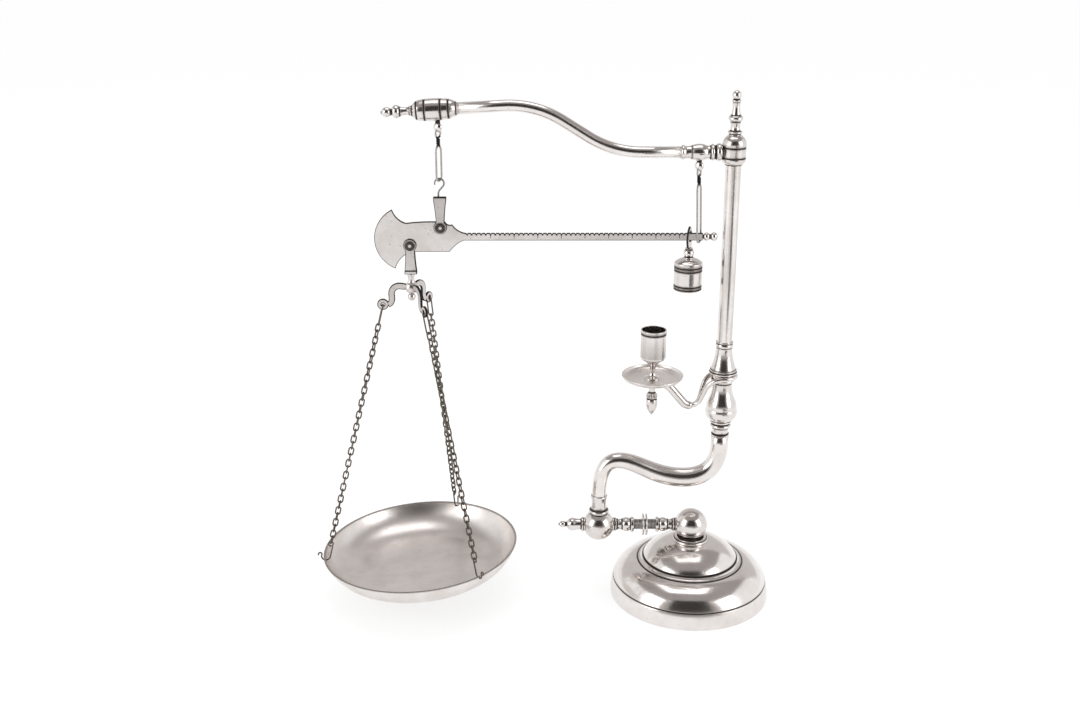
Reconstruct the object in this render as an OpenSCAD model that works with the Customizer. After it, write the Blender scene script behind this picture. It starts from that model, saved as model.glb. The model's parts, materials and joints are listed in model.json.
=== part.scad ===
// Single pan balance with a notched beam, a sliding poise, a hanging pan and a candle arm.
// Frame: origin at the centre of the base's underside, +Z up, +X from the pan towards the column.

/* [Base] */
// Radius of the base at the table
base_r = 78; // [70:1:90]
// Height of the rim band up to its groove
rim_h = 16.4; // [12:0.2:20]
// Radius of the rim band at its groove
rim_top_r = 75.6; // [66:0.2:88]
// Radius of the step between the two domes
step_r = 51.6; // [48:0.2:58]
// Height of the step between the two domes
step_z = 36.6; // [32:0.2:44]
// Radius at the foot of the upper dome
upper_r = 46.2; // [38:0.2:47]
// Height of the neck collar's underside
neck_z = 57.4; // [52:0.2:64]
// Radius of the neck collar
neck_r = 17.3; // [14:0.1:22]
// Height of the neck collar's rim
neck_h = 3.4; // [2:0.1:6]
// Thickness of the spun shell
shell_t = 1.4; // [0.8:0.1:2.5]
// Thickness of the baize pad
pad_t = 1.5; // [1:0.1:3]
// Depth of the groove lines cut in the turned work
groove_d = 0.6; // [0.2:0.1:1]
// Width of the groove lines cut in the turned work
groove_w = 0.8; // [0.4:0.1:1.4]

/* [Foot coupling] */
// Height of the coupling's axis
shaft_z = 73.5; // [68:0.5:84]
// Radius of the ball on the base
ball_r = 16; // [14:0.1:18]
// Radius of the ball under the elbow
elbow_ball_r = 15.4; // [13:0.1:17]
// Distance from the base's axis to the elbow's axis
elbow_x = 91; // [88:0.5:110]
// Radius of the collars against the balls
collar_r = 6.8; // [6:0.1:8]
// Greatest radius of the vase shaped stretches
vase_r = 7.1; // [6.2:0.1:8]
// Least radius of the vase shaped stretches
vase_waist_r = 5.4; // [5.2:0.1:6]
// Length of each vase shaped shaft
vase_l = 16.4; // [14:0.1:18]
// Outer radius of the screw thread
thread_r = 5.3; // [4.8:0.05:5.6]
// Pitch of the screw thread
thread_pitch = 1.3; // [0.8:0.05:2]
// Radius of the stud's plain core
stud_r = 4.4; // [3.6:0.1:4.6]
// Radius of the lock rings
lock_r = 11; // [9:0.1:14]
// Thickness of each lock ring
lock_t = 1.7; // [1.2:0.1:2.4]
// Gap between the two lock rings
lock_gap = 1.5; // [0.8:0.1:2.5]
// Length of the finial past the elbow ball
foot_finial_l = 25.8; // [20:0.2:28]

/* [S tube] */
// Radius of the tube at the elbow
s_start_r = 7.1; // [6:0.1:8]
// Radius of the tube in the lower bend
s_belly_r = 9.5; // [8:0.1:11]
// Radius of the tube under the column
s_end_r = 8.4; // [7.6:0.1:9.4]
// Height at which the tube leaves the elbow's collar
elbow_top_z = 105.5; // [100:0.5:114]

/* [Column] */
// Distance of the column's axis from the base's axis
column_x = 24.2; // [18:0.2:30]
// Height at which the S tube ends
s_end_z = 170.4; // [166:0.2:180]
// Height of the collar over the S tube
lower_collar_h = 14.2; // [11:0.2:18]
// Greatest radius of the pear
pear_r = 14.5; // [13:0.1:17]
// Height of the pear
pear_h = 42.6; // [38:0.2:50]
// Radius of the bearing waist that the candle arm turns on
waist_r = 9.3; // [8.6:0.1:10.4]
// Height of the bearing waist
waist_h = 5.6; // [5.2:0.1:8]
// Greatest radius of the cone's foot
cone_r = 13.3; // [12:0.1:15]
// Height of the cone
cone_h = 25.4; // [20:0.2:32]
// Radius of the column collar
column_collar_r = 8.3; // [7.8:0.1:10]
// Height of the column collar
column_collar_h = 6; // [4:0.2:9]
// Radius of the column tube
tube_r = 7; // [6.2:0.1:7.6]
// Wall of the column tube
tube_wall = 1.2; // [0.8:0.1:2]
// Height of the head knob's underside
head_z = 431; // [420:0.5:445]
// Radius of the head knob
knob_r = 10.6; // [9.6:0.1:12]
// Height of the head knob
knob_h = 26.6; // [24:0.2:30]
// Length of the finial over the head knob
head_finial_l = 39.6; // [34:0.2:46]

/* [Arm] */
// Height of the arm's root over the head knob's underside
root_rise = 11.4; // [9:0.2:14]
// Height that the arm climbs from its root to its crest
arm_rise = 41.4; // [34:0.2:48]
// Radius of the arm rod
arm_r = 5.2; // [4.4:0.1:5.6]
// Radius of the arm's two swept bends
bend_r = 90; // [80:1:96]
// Steepest slope of the arm
arm_slope = 32; // [28:1:36]
// Slope of the arm's end
end_slope = 3.2; // [2:0.1:5]
// Distance from the base's axis to the arm's crest
crest_x = 176; // [168:0.5:182]
// Distance from the base's axis to the barrel's inner end
barrel_end_x = 222; // [218:0.5:226]
// Radius of the barrel on the arm's end
barrel_r = 9.9; // [8.5:0.1:11]
// Length of the barrel on the arm's end
barrel_l = 40.6; // [34:0.2:46]
// Length of the finial on the arm's end
arm_finial_l = 27; // [22:0.2:32]
// Radius of the ball eyes
eye_r = 4.3; // [4:0.1:5]
// Thickness of the ball eyes
eye_t = 2.6; // [2:0.1:2.8]

/* [Suspension] */
// Distance from the base's axis to the fulcrum
fulcrum_x = 239.3; // [232:0.1:244]
// Drop from the head knob's underside to the fulcrum
fulcrum_drop = 57; // [51:0.2:65]
// Wire radius of the long links
link_wire_r = 0.95; // [0.7:0.05:1]
// Width of the long links between the wires' middles
link_w = 8; // [7.6:0.1:9]
// Turn of the long links about the vertical
link_turn = 30; // [15:1:35]
// Wire radius of the shackle's hook
hook_wire_r = 0.85; // [0.6:0.05:0.95]
// Bend radius of the shackle's hook
hook_bend_r = 4.2; // [3.6:0.1:4.8]
// Height of the shackle's top over its pin
shackle_h = 27.6; // [25:0.2:30]
// Width of the shackle's top
shackle_w = 11.6; // [10:0.1:13]
// Least width of the shackle's legs
shackle_leg_w = 7.4; // [5:0.1:9]
// Thickness of the shackle's legs
shackle_t = 1.5; // [1:0.1:2]
// Radius of the shackle's eyes
shackle_eye_r = 6; // [5:0.1:6.6]
// Radius of the two pins
pin_r = 2.2; // [1.6:0.1:2.8]

/* [Beam] */
// Thickness of the beam
beam_t = 3; // [2:0.1:3.2]
// Distance from the fulcrum to the upper tip of the axe
axe_reach = 43.6; // [40:0.1:46]
// Height of the notched bar
bar_h = 6.6; // [6:0.1:7.2]
// Drop of the bar's top edge under the fulcrum
bar_drop = 5.6; // [4:0.1:8]
// Distance from the base's axis to the bar's end
bar_end_x = 0.5; // [-0.5:0.1:1]
// Distance between the beam's notches
notch_pitch = 4.3; // [3.5:0.05:6]
// Depth of the beam's notches
notch_d = 1.1; // [0.5:0.1:1.6]
// Sideways distance from the fulcrum to the load pin
load_arm = 28.2; // [26:0.1:30]
// Drop from the fulcrum to the load pin
load_drop = 16.8; // [15:0.1:18]
// Height of the load shackle from its pin to its foot
load_shackle_h = 27; // [25:0.1:30]
// Distance from the base's axis to the stay
stay_x = 3.8; // [3.4:0.1:4.4]

/* [Poise] */
// Distance from the base's axis to the poise
poise_x = 12.6; // [12.2:0.1:18]
// Radius of the poise's body
poise_r = 13; // [10:0.1:15]
// Height of the poise's body
poise_h = 30; // [24:0.2:34]
// Turn of the poise's hook about the vertical
poise_turn = 28; // [10:1:32]

/* [Pan] */
// Radius of the pan's rim
pan_r = 95.8; // [86:0.2:98]
// Depth of the pan
pan_depth = 27; // [22:0.5:32]
// Radius of the pan's flat floor
pan_floor_r = 63; // [54:0.5:70]
// Thickness of the pan
pan_t = 1.2; // [0.8:0.1:2]
// Height of the middle of the pan's rim
pan_z = 53; // [50:0.5:64]
// Tilt of the hanging pan
pan_tilt = 3.5; // [0:0.1:5]
// Radius of the pan's rim bead
rim_bead_r = 1.2; // [0.9:0.05:1.4]
// Reach of the spider's arms
spider_reach = 27; // [25:0.2:30]
// Drop from the hub's middle to the arms' scrolls
spider_drop = 16.4; // [14:0.2:20]
// Number of links in each chain
chain_links = 36; // [32:2:40]
// Wire radius of the chain
chain_wire_r = 0.72; // [0.5:0.02:0.75]
// Bend radius of a chain link
chain_bend_r = 2.25; // [2.1:0.05:2.6]

/* [Candle] */
// Distance from the base's axis to the candle
candle_x = 42.4; // [38:0.2:48]
// Radius of the candle's bore
candle_bore_r = 11; // [10:0.1:11.4]
// Depth of the candle's bore
candle_bore_l = 26; // [18:0.5:28]
// Wall of the candle socket
candle_wall = 0.9; // [0.6:0.1:1.5]
// Height of the candle socket's mouth
candle_z = 275.8; // [270:0.2:282]
// Height of the drip pan's underside
drip_z = 226.2; // [224:0.2:230]
// Radius of the drip pan
drip_r = 29.2; // [24:0.2:34]
// Wire radius of the candle arm's ring
ring_wire_r = 2.4; // [1.8:0.1:2.5]
// Radius of the candle arm's rod
rod_r = 3.8; // [2.6:0.1:4]
// Distance from the column's axis to the fork of the candle arm
fork_reach = 29.9; // [27:0.1:33]
// Drop from the ring to the fork of the candle arm
fork_drop = 30.2; // [28:0.2:34]

/* [Hidden] */
$fn = 64;
silver = [0.80, 0.78, 0.77];
shade = [0.66, 0.64, 0.63];
iron = [0.35, 0.34, 0.33];
tarnish = [0.46, 0.42, 0.36];
baize = [0.16, 0.27, 0.20];
lead = [0.42, 0.43, 0.45];
// Running clearance of pins and turning fits, and the wider gap of parts that hang
fit = 0.05;
gap = 0.3;
// Slip between wires that hang in each other
slip = 0.15;

// Base heights
upper_z = step_z + 3.6;
stud_base_r = 3;
stud_hole_r = stud_base_r + fit;
nut_h = 5;
nut_r = 5.6;
washer_h = 1.2;
washer_r = 8;
nut_pocket_r = washer_r + 1;
nut_pocket_z = pad_t + 10;
boss_z = neck_z + neck_h + 0.4;
boss_r = 9.6;

// Coupling places along X
spigot_l = 9;
right_shaft_x = -sqrt(ball_r * ball_r - collar_r * collar_r);
right_end_x = right_shaft_x - 4.2 - vase_l;
left_start_x = -elbow_x + sqrt(elbow_ball_r * elbow_ball_r - collar_r * collar_r);
left_end_x = left_start_x + 4.2 + vase_l;
ring_mid_x = (right_end_x + left_end_x) / 2;
foot_start_x = -elbow_x - sqrt(elbow_ball_r * elbow_ball_r - collar_r * collar_r);

// Column heights
lower_collar_z = s_end_z;
pear_z = lower_collar_z + lower_collar_h;
waist_z = pear_z + pear_h;
cone_z = waist_z + waist_h;
column_collar_z = cone_z + cone_h;
tube_z = column_collar_z + column_collar_h;
tube_bore_r = tube_r - tube_wall;
spigot_r = tube_bore_r - fit;
pillar_r = 4;
knob_top_z = head_z + knob_h;

// Arm path
root_z = head_z + root_rise;
crest_z = root_z + arm_rise;
bend_drop = bend_r * (1 - cos(arm_slope));
arm_run = (arm_rise - 2 * bend_drop) / sin(arm_slope);
root_tip_x = -22.6;
lead_l = (barrel_end_x - crest_x - bend_r * sin(end_slope)) / cos(end_slope);
lead_x = -barrel_end_x;
lead_z = crest_z - bend_r * (1 - cos(end_slope)) - lead_l * sin(end_slope);
arm_foot_x = -crest_x + 2 * bend_r * sin(arm_slope) + arm_run * cos(arm_slope);
barrel_x = lead_x - barrel_l * cos(end_slope);
barrel_z = lead_z - barrel_l * sin(end_slope);
socket_l = 8;

// Heights of the fulcrum and the bar
fulcrum_z = head_z - fulcrum_drop;
bar_top_z = fulcrum_z - bar_drop;

// Hanging line of the fulcrum
hang_z = lead_z - (fulcrum_x - barrel_end_x) * tan(end_slope);
eye_z = hang_z - barrel_r - 1.6 - eye_r;
eye_hole_r = link_wire_r + 0.55;
eye_drop = eye_r - eye_hole_r - 0.9;
top_ring_r = 3.6;
// The shackle's hook: a shank, a lean to the right, a straight stretch and the bend over the link
hook_lean = 42;
hook_lean_r = 6;
hook_shank = 4.6;
hook_straight = 4;
hook_x = -hook_lean_r * (1 - cos(hook_lean)) - hook_straight * sin(hook_lean) + hook_bend_r * cos(hook_lean);
hook_top_z = fulcrum_z + shackle_h - 1.6 + hook_shank + (hook_lean_r + hook_bend_r) * sin(hook_lean)
    + hook_straight * cos(hook_lean) + hook_bend_r;
link_low_z = hook_top_z - hook_wire_r - link_wire_r - slip;
stay_eye_z = root_z - 7.5 - 0.6 - eye_r;
stay_eye_x = -6.4;
bar_low_z = bar_top_z - bar_h;
// Drop of the stay's foot under the bar, so that its round foot clears the bar's lower edges
stay_drop = max([for (e = [0 : 0.05 : link_w / 2 - 0.05]) let(
    over = max(0, e * cos(link_turn) - beam_t / 2),
    reach = link_wire_r + gap)
    over < reach ? link_w / 2 - sqrt(pow(link_w / 2, 2) - e * e) + sqrt(reach * reach - over * over) : 0]);
stay_low_z = bar_low_z - stay_drop;

// Shackle breadths
leg_y = beam_t / 2 + 0.4;
pin_head_h = 0.7;
spindle_r = 1.2;
eye_recess_r = pin_r + 1.9;
load_x = fulcrum_x + load_arm;
load_z = fulcrum_z - load_drop;
load_foot_z = load_z - load_shackle_h;

// Spider, chains and pan
hub_z = load_foot_z - 13.2;
hub_r = 6;
scroll_r = 5.3;
scroll_hole_r = chain_wire_r + 0.8;
scroll_z = hub_z - spider_drop;
spider_t = 2.2;
spider_angles = [180, -60, 60];
pan_turn = 11;
pan_hole_r = 1.9;
pan_hole_rho = pan_r - 3.6;
pan_hole_z = -4.2;
top_link_l = 20;
hook_l = 19;
pan_x = load_x;

// Candle heights
drip_t = 1.2;
drip_floor_z = drip_z + drip_t;
screw_r = 2;
boss_l = 7.6;
candle_floor_z = candle_z - candle_bore_l;
ring_r = waist_r + fit + ring_wire_r;
ring_z = waist_z + gap + ring_wire_r;
// Place of the candle arm's fork, the dive of its rod and the climb of its strands
rod_z = drip_z - rod_r - 0.4;
boss_w = 4.6;
boss_seat = 3.2;
fork_x = column_x - fork_reach;
fork_z = ring_z - fork_drop;
fork_r = 9;
dive = 50;
dive_r = 14;
strand_slope = 73;
strand_end = 0.4;

// Points of the arc from p to q that stands s proud of the chord, to the chord's left for s above 0
function bow(p, q, s, n = 8) = let(
    c = norm(q - p),
    r = (c * c / 4 + s * s) / (2 * s),
    d = (q - p) / c,
    side = [-d[1], d[0]],
    o = (p + q) / 2 + side * (s - r),
    a0 = atan2(p[1] - o[1], p[0] - o[0]),
    a1 = atan2(q[1] - o[1], q[0] - o[0]),
    turn = (a1 - a0 + 900) % 360 - 180)
    [for (i = [0 : n]) o + abs(r) * [cos(a0 + turn * i / n), sin(a0 + turn * i / n)]];

// Point at t on the cubic curve with the four handles h
function curve(h, t) =
    pow(1 - t, 3) * h[0] + 3 * t * pow(1 - t, 2) * h[1] + 3 * t * t * (1 - t) * h[2] + pow(t, 3) * h[3];

function unit(v) = v / norm(v);

// Solid of revolution about Z with round beads [radius, height, bead radius] and groove lines
module spun(outline, beads = [], grooves = []) {
    rotate_extrude()
    difference() {
        union() {
            polygon(outline);
            for (b = beads) translate([b[0], b[1]]) circle(r = b[2]);
        }
        for (g = grooves) translate([g[0] - groove_d, g[1] - groove_w / 2]) square([groove_d * 4, groove_w]);
    }
}

// Puts a piece that is turned about Z on the coupling's axis, pointing along +X from x
module on_shaft(x) translate([x, 0, shaft_z]) rotate([0, 90, 0]) children();

// Puts a piece on the column's axis
module on_column(z = 0) translate([column_x, 0, z]) children();

// Places a piece at p with its Z along w and its X as near to u as it can be
module aimed(p, w, u) {
    z = unit(w);
    x = unit(u - (u * z) * z);
    y = cross(z, x);
    multmatrix([[x[0], y[0], z[0], p[0]], [x[1], y[1], z[1], p[1]], [x[2], y[2], z[2], p[2]]]) children();
}

// Tube of round section along the points p, with a radius for each, flat at both ends
module sweep(p, radii, side, sides = 12) {
    last = len(p) - 1;
    rings = [for (i = [0 : last]) let(
        t = unit(p[min(i + 1, last)] - p[max(i - 1, 0)]),
        u = unit(side - (side * t) * t),
        v = cross(t, u))
        for (k = [0 : sides - 1]) p[i] + radii[i] * (cos(360 * k / sides) * u + sin(360 * k / sides) * v)];
    walls = [for (i = [0 : last - 1], k = [0 : sides - 1]) let(
        a = i * sides + k,
        b = i * sides + (k + 1) % sides)
        each [[a, a + sides, b + sides], [a, b + sides, b]]];
    start = [for (k = [0 : sides - 1]) k];
    end = [for (k = [sides - 1 : -1 : 0]) last * sides + k];
    polyhedron(rings, concat([start, end], walls), convexity = 6);
}

// Round wire that starts up Z and bends in the XZ plane: each move is [length, 0] or [bend radius, angle].
// With a lap, the straight stretches are a hair thicker and reach that far into the bends.
module wire(r, moves, lap = 0, i = 0) {
    if (i < len(moves)) {
        m = moves[i];
        if (m[1] == 0) {
            low = i > 0 ? lap : 0;
            high = i < len(moves) - 1 ? lap : 0;
            translate([0, 0, -low]) cylinder(r = r + lap / 20, h = m[0] + low + high);
            translate([0, 0, m[0]]) wire(r, moves, lap, i + 1);
        } else {
            s = sign(m[1]);
            a = abs(m[1]);
            mirror([s > 0 ? 1 : 0, 0, 0])
            translate([-m[0], 0, 0])
            rotate([90, 0, 0])
            rotate_extrude(angle = a)
            translate([m[0], 0])
            circle(r = r);
            translate([s * m[0] * (1 - cos(a)), 0, m[0] * sin(a)])
            rotate([0, m[1], 0])
            wire(r, moves, lap, i + 1);
        }
    }
}

// Points along a run of moves like the wire's, in the XZ plane, heading a degrees from Z towards X
function run_points(moves, p, a, step, i = 0) = i == len(moves) ? [] : let(
    m = moves[i],
    s = sign(m[1]),
    n = max(1, ceil(abs(m[1]) / step)),
    c = p + s * m[0] * [cos(a), -sin(a)],
    made = s == 0 ? [p + m[0] * [sin(a), cos(a)]]
        : [for (k = [1 : n]) c - s * m[0] * [cos(a + m[1] * k / n), -sin(a + m[1] * k / n)]])
    concat(made, run_points(moves, made[len(made) - 1], a + m[1], step, i + 1));

// Closed long link in the XZ plane between the heights z0 and z1 of its wire's middle
module oval_link(z0, z1, bend, r) {
    straight = z1 - z0 - 2 * bend;
    translate([bend, 0, z0 + bend]) wire(r, [[straight, 0], [bend, -180], [straight, 0], [bend, -180]]);
}

/* Base pieces */
function dome_outline(inset) = concat(
    [[0, inset > 0 ? pad_t : 0], [base_r - inset, inset > 0 ? pad_t : 0]],
    bow([base_r - inset, inset > 0 ? pad_t : 2], [rim_top_r - inset, rim_h - inset / 2], -0.6, 4),
    bow([rim_top_r - inset, rim_h + 0.6 - inset / 2], [step_r - inset * 0.6, step_z - inset], -4.6, 12),
    bow([step_r - inset * 0.9, step_z + 0.6 - inset], [upper_r + 1 - inset, upper_z - 1 - inset], 1, 5),
    bow([upper_r - inset, upper_z - inset], [neck_r - 1 - inset * 0.4, neck_z - inset], -4.2, 12),
    [[0, neck_z - inset]]);

module base_pad() {
    color(baize) cylinder(r = base_r - shell_t - 2.2, h = pad_t);
}

module base_dome() {
    color(silver)
    difference() {
        spun(dome_outline(0), [], [[rim_top_r, rim_h + 0.3], [upper_r, upper_z - 0.6]]);
        difference() {
            spun(dome_outline(shell_t));
            translate([0, 0, neck_z - shell_t - 3]) cylinder(r = neck_r - 4, h = 5);
        }
        translate([0, 0, -1]) cylinder(r = base_r - shell_t - 2, h = pad_t + 1.01);
        translate([0, 0, neck_z - 8]) cylinder(r = stud_hole_r, h = 9);
    }
}

module base_loading() {
    color(iron)
    difference() {
        intersection() {
            spun(dome_outline(shell_t + gap));
            translate([0, 0, pad_t]) cylinder(r = base_r, h = neck_z - shell_t - 3 - gap - pad_t);
        }
        cylinder(r = stud_hole_r, h = neck_z);
        translate([0, 0, -1]) cylinder(r = nut_pocket_r, h = nut_pocket_z + 1);
    }
}

module base_stud() {
    color(shade) translate([0, 0, pad_t + 1]) cylinder(r = stud_base_r, h = shaft_z - 6 - pad_t - 1);
}

module base_washer() {
    color(shade)
    difference() {
        translate([0, 0, nut_pocket_z - washer_h]) cylinder(r = washer_r, h = washer_h);
        cylinder(r = stud_hole_r, h = 40);
    }
}

module base_nut() {
    color(shade)
    difference() {
        translate([0, 0, nut_pocket_z - washer_h - nut_h]) cylinder(r = nut_r, h = nut_h, $fn = 6);
        cylinder(r = stud_hole_r, h = 40);
    }
}

module neck_collar() {
    color(silver)
    difference() {
        spun(concat(
            [[0, neck_z], [neck_r - 0.6, neck_z]],
            bow([neck_r - 0.6, neck_z], [neck_r - 1.2, neck_z + neck_h - 0.6], -0.9, 5),
            bow([neck_r - 1.2, neck_z + neck_h - 0.6], [neck_r - 4, neck_z + neck_h], -0.6, 4),
            [[neck_r - 4.4, neck_z + 1.6], [boss_r, neck_z + 1.6], [boss_r, boss_z], [0, boss_z]]));
        translate([0, 0, neck_z - 1]) cylinder(r = stud_hole_r, h = 9);
    }
}

/* Coupling pieces */
module base_ball() {
    color(silver)
    difference() {
        translate([0, 0, shaft_z]) sphere(r = ball_r);
        translate([-ball_r, -ball_r, 0]) cube([2 * ball_r, 2 * ball_r, boss_z]);
        translate([0, 0, boss_z - 1]) cylinder(r = stud_hole_r, h = shaft_z - 5 - boss_z + 1);
        on_shaft(-ball_r - 1) cylinder(r = collar_r - 2 + fit, h = ball_r - 5);
    }
}

// Collars, a vase and a ring, from a ball at z = 0 outwards
function vase_outline() = concat(
    [[0, 0], [collar_r, 0], [collar_r, 1.2], [collar_r - 1, 1.5], [collar_r - 1, 1.9], [collar_r - 0.3, 2.2],
     [collar_r - 0.3, 3.4], [vase_waist_r, 4.2]],
    bow([vase_waist_r, 5.4], [vase_waist_r, 8.6], 0.3, 4),
    bow([vase_waist_r, 9.2], [vase_r - 1.2, vase_l + 0.4], -1.3, 8),
    [[vase_r - 1.4, vase_l + 1], [vase_r + 0.2, vase_l + 1.4], [vase_r + 0.4, vase_l + 2.6],
     [vase_r + 0.1, vase_l + 4.2], [0, vase_l + 4.2]]);

// What a ball takes out of the collar that sits against it, round the collar's spigot
module ball_seat(x, r) {
    difference() {
        translate([x, 0, shaft_z]) sphere(r = r + fit);
        on_shaft(x - r - 1) cylinder(r = collar_r - 2, h = 2 * r + 2);
    }
}

module right_shaft() {
    color(silver)
    difference() {
        union() {
            on_shaft(right_shaft_x) rotate([180, 0, 0]) spun(vase_outline());
            on_shaft(right_shaft_x - 1) cylinder(r = collar_r - 2, h = spigot_l - 3);
        }
        on_shaft(right_end_x - 1) cylinder(r = stud_r + fit, h = vase_l - 1);
        ball_seat(0, ball_r);
    }
}

module left_shaft() {
    color(silver)
    difference() {
        union() {
            on_shaft(left_start_x) spun(vase_outline());
            on_shaft(left_start_x - spigot_l + 3) cylinder(r = collar_r - 2, h = spigot_l);
        }
        on_shaft(left_end_x - vase_l + 2) cylinder(r = stud_r + fit, h = vase_l);
        ball_seat(-elbow_x, elbow_ball_r);
    }
}

module threaded_stud() {
    turns = floor((right_end_x - left_end_x - 0.6) / thread_pitch);
    thread_x = ring_mid_x - turns * thread_pitch / 2;
    color(shade) {
        on_shaft(left_end_x - vase_l + 4) cylinder(r = stud_r, h = right_end_x - left_end_x + 2 * vase_l - 8);
        on_shaft(thread_x) spun(concat([[0, 0]],
            [for (i = [0 : turns - 1]) each [
                [stud_r, i * thread_pitch],
                [thread_r, (i + 0.35) * thread_pitch],
                [thread_r, (i + 0.65) * thread_pitch]]],
            [[stud_r, turns * thread_pitch], [0, turns * thread_pitch]]));
    }
}

module lock_ring(x) {
    color(silver)
    on_shaft(x)
    difference() {
        spun(concat([[0, 0], [lock_r - 0.5, 0]], bow([lock_r - 0.5, 0], [lock_r - 0.5, lock_t], -0.4, 4),
                    [[0, lock_t]]));
        translate([0, 0, -1]) cylinder(r = thread_r + fit, h = lock_t + 2);
    }
}

module lock_ring_right() lock_ring(ring_mid_x + lock_gap / 2);
module lock_ring_left() lock_ring(ring_mid_x - lock_gap / 2 - lock_t);

module elbow_ball() {
    color(silver)
    difference() {
        translate([-elbow_x, 0, shaft_z]) sphere(r = elbow_ball_r);
        on_shaft(-elbow_x - elbow_ball_r - 1) cylinder(r = collar_r - 2 + fit, h = spigot_l - 0.5);
        on_shaft(left_start_x - spigot_l + 2.5) cylinder(r = collar_r - 2 + fit, h = spigot_l + 4);
        translate([-elbow_x, 0, shaft_z + elbow_ball_r - 3]) cylinder(r = 20, h = 9);
        translate([-elbow_x, 0, shaft_z + 5]) cylinder(r = s_start_r - 2 + fit, h = 20);
    }
}

module foot_finial() {
    color(silver)
    difference() {
        on_shaft(foot_start_x) rotate([180, 0, 0]) {
            spun(concat(
                [[0, 0], [collar_r, 0], [collar_r, 1], [collar_r - 0.8, 1.4], [collar_r + 0.8, 1.8],
                 [collar_r + 0.8, 2.8], [vase_waist_r, 3.4]],
                bow([vase_waist_r, 4.4], [vase_r - 0.6, foot_finial_l - 14.4], 0.3, 5),
                bow([vase_r - 0.6, foot_finial_l - 14.4], [3.4, foot_finial_l - 8.4], -0.9, 6),
                [[2.2, foot_finial_l - 7.8], [2.2, foot_finial_l - 6.8]],
                bow([2.2, foot_finial_l - 6.8], [1, foot_finial_l - 0.6], -1.6, 6),
                [[0.6, foot_finial_l], [0, foot_finial_l]]));
            translate([0, 0, -5.4]) cylinder(r = collar_r - 2, h = 6);
        }
        ball_seat(-elbow_x, elbow_ball_r);
    }
}

/* Elbow and S tube */
module elbow_collar() {
    top = elbow_top_z - shaft_z - elbow_ball_r + 3;
    color(silver)
    translate([-elbow_x, 0, shaft_z + elbow_ball_r - 3]) {
        spun(concat(
            [[0, 0], [9, 0]],
            bow([9, 0.8], [9, 4.4], -1, 6),
            bow([8.3, 4.8], [s_start_r + 0.9, top - 2.4], 0.9, 8),
            [[s_start_r + 1.1, top - 1.6], [s_start_r + 1.1, top - 0.4], [s_start_r + 0.7, top], [0, top]]),
            [], [[8.7, 4.6]]);
        translate([0, 0, -7]) cylinder(r = s_start_r - 2, h = 8);
    }
}

s_mid = [-elbow_x + 49, 0, elbow_top_z + 26.5];
s_way = [cos(24), 0, -sin(24)];
s_left = [[-elbow_x, 0, elbow_top_z + 1], [-elbow_x, 0, elbow_top_z + 52], s_mid - 24 * s_way, s_mid];
s_right = [s_mid, s_mid + 28 * s_way, [column_x, 0, s_end_z - 54], [column_x, 0, s_end_z - 10]];
// Share of the tube's length at which it is fattest
s_fat = 0.72;
s_rings = 17;
function s_radius(t) = t < s_fat
    ? s_start_r + (s_belly_r - s_start_r) * pow(sin(90 * t / s_fat), 2)
    : s_end_r + (s_belly_r - s_end_r) * pow(cos(90 * (t - s_fat) / (1 - s_fat)), 2);

module s_tube() {
    points = concat(
        [[-elbow_x, 0, elbow_top_z]],
        [for (i = [0 : s_rings]) curve(s_left, i / s_rings)],
        [for (i = [1 : s_rings]) curve(s_right, i / s_rings)],
        [[column_x, 0, s_end_z]]);
    last = len(points) - 1;
    color(silver)
    sweep(points, [for (i = [0 : last]) s_radius(max(0, min((i - 1) / (last - 2), 1)))], [0, 1, 0], 24);
}

/* Column pieces */
module lower_collar() {
    h = lower_collar_h;
    color(silver) {
        on_column(lower_collar_z) spun(concat(
            [[0, 0], [s_end_r - 0.4, 0], [s_end_r, 0.6], [s_end_r - 0.2, 1.4]],
            bow([s_end_r - 0.3, 1.4], [s_end_r - 0.1, h - 7], 0.5, 4),
            bow([s_end_r + 0.6, h - 6.4], [s_end_r + 0.6, h - 3.6], -0.9, 5),
            [[s_end_r, h - 3], [s_end_r + 0.2, h - 2.4], [s_end_r + 1.9, h - 1.2], [s_end_r + 1.9, h], [0, h]]),
            [], [[s_end_r, 0.9]]);
    }
}

module pear_baluster() {
    color(silver)
    on_column(pear_z) {
        difference() {
            spun(concat(
                [[0, 0], [10.2, 0], [10.4, 0.8]],
                bow([10.6, 1], [pear_r, 13], -2.3, 8),
                bow([pear_r, 13], [12.4, 22.4], -0.5, 4),
                bow([12.4, 22.4], [waist_r - 0.3, pear_h - 3.8], 1, 8),
                [[waist_r + 1.8, pear_h - 1.4], [waist_r + 2, pear_h - 0.8], [waist_r + 1.8, pear_h],
                 [waist_r, pear_h], [waist_r, pear_h + waist_h], [0, pear_h + waist_h]]));
            translate([0, 0, pear_h]) cylinder(r = pillar_r + fit, h = waist_h + 1);
        }
    }
}

module cone_baluster() {
    color(silver)
    on_column(cone_z) {
        spun(concat(
            [[0, 0], [cone_r - 0.6, 0], [cone_r, 0.8], [cone_r, 1.6], [cone_r - 0.9, 2.2], [cone_r - 0.6, 2.8],
             [cone_r - 0.8, 4.2]],
            bow([cone_r - 1.2, 4.6], [7.6, cone_h - 1], 0.8, 8),
            [[7.6, cone_h], [0, cone_h]]));
        translate([0, 0, -waist_h]) cylinder(r = pillar_r, h = waist_h + 1);
    }
}

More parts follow.
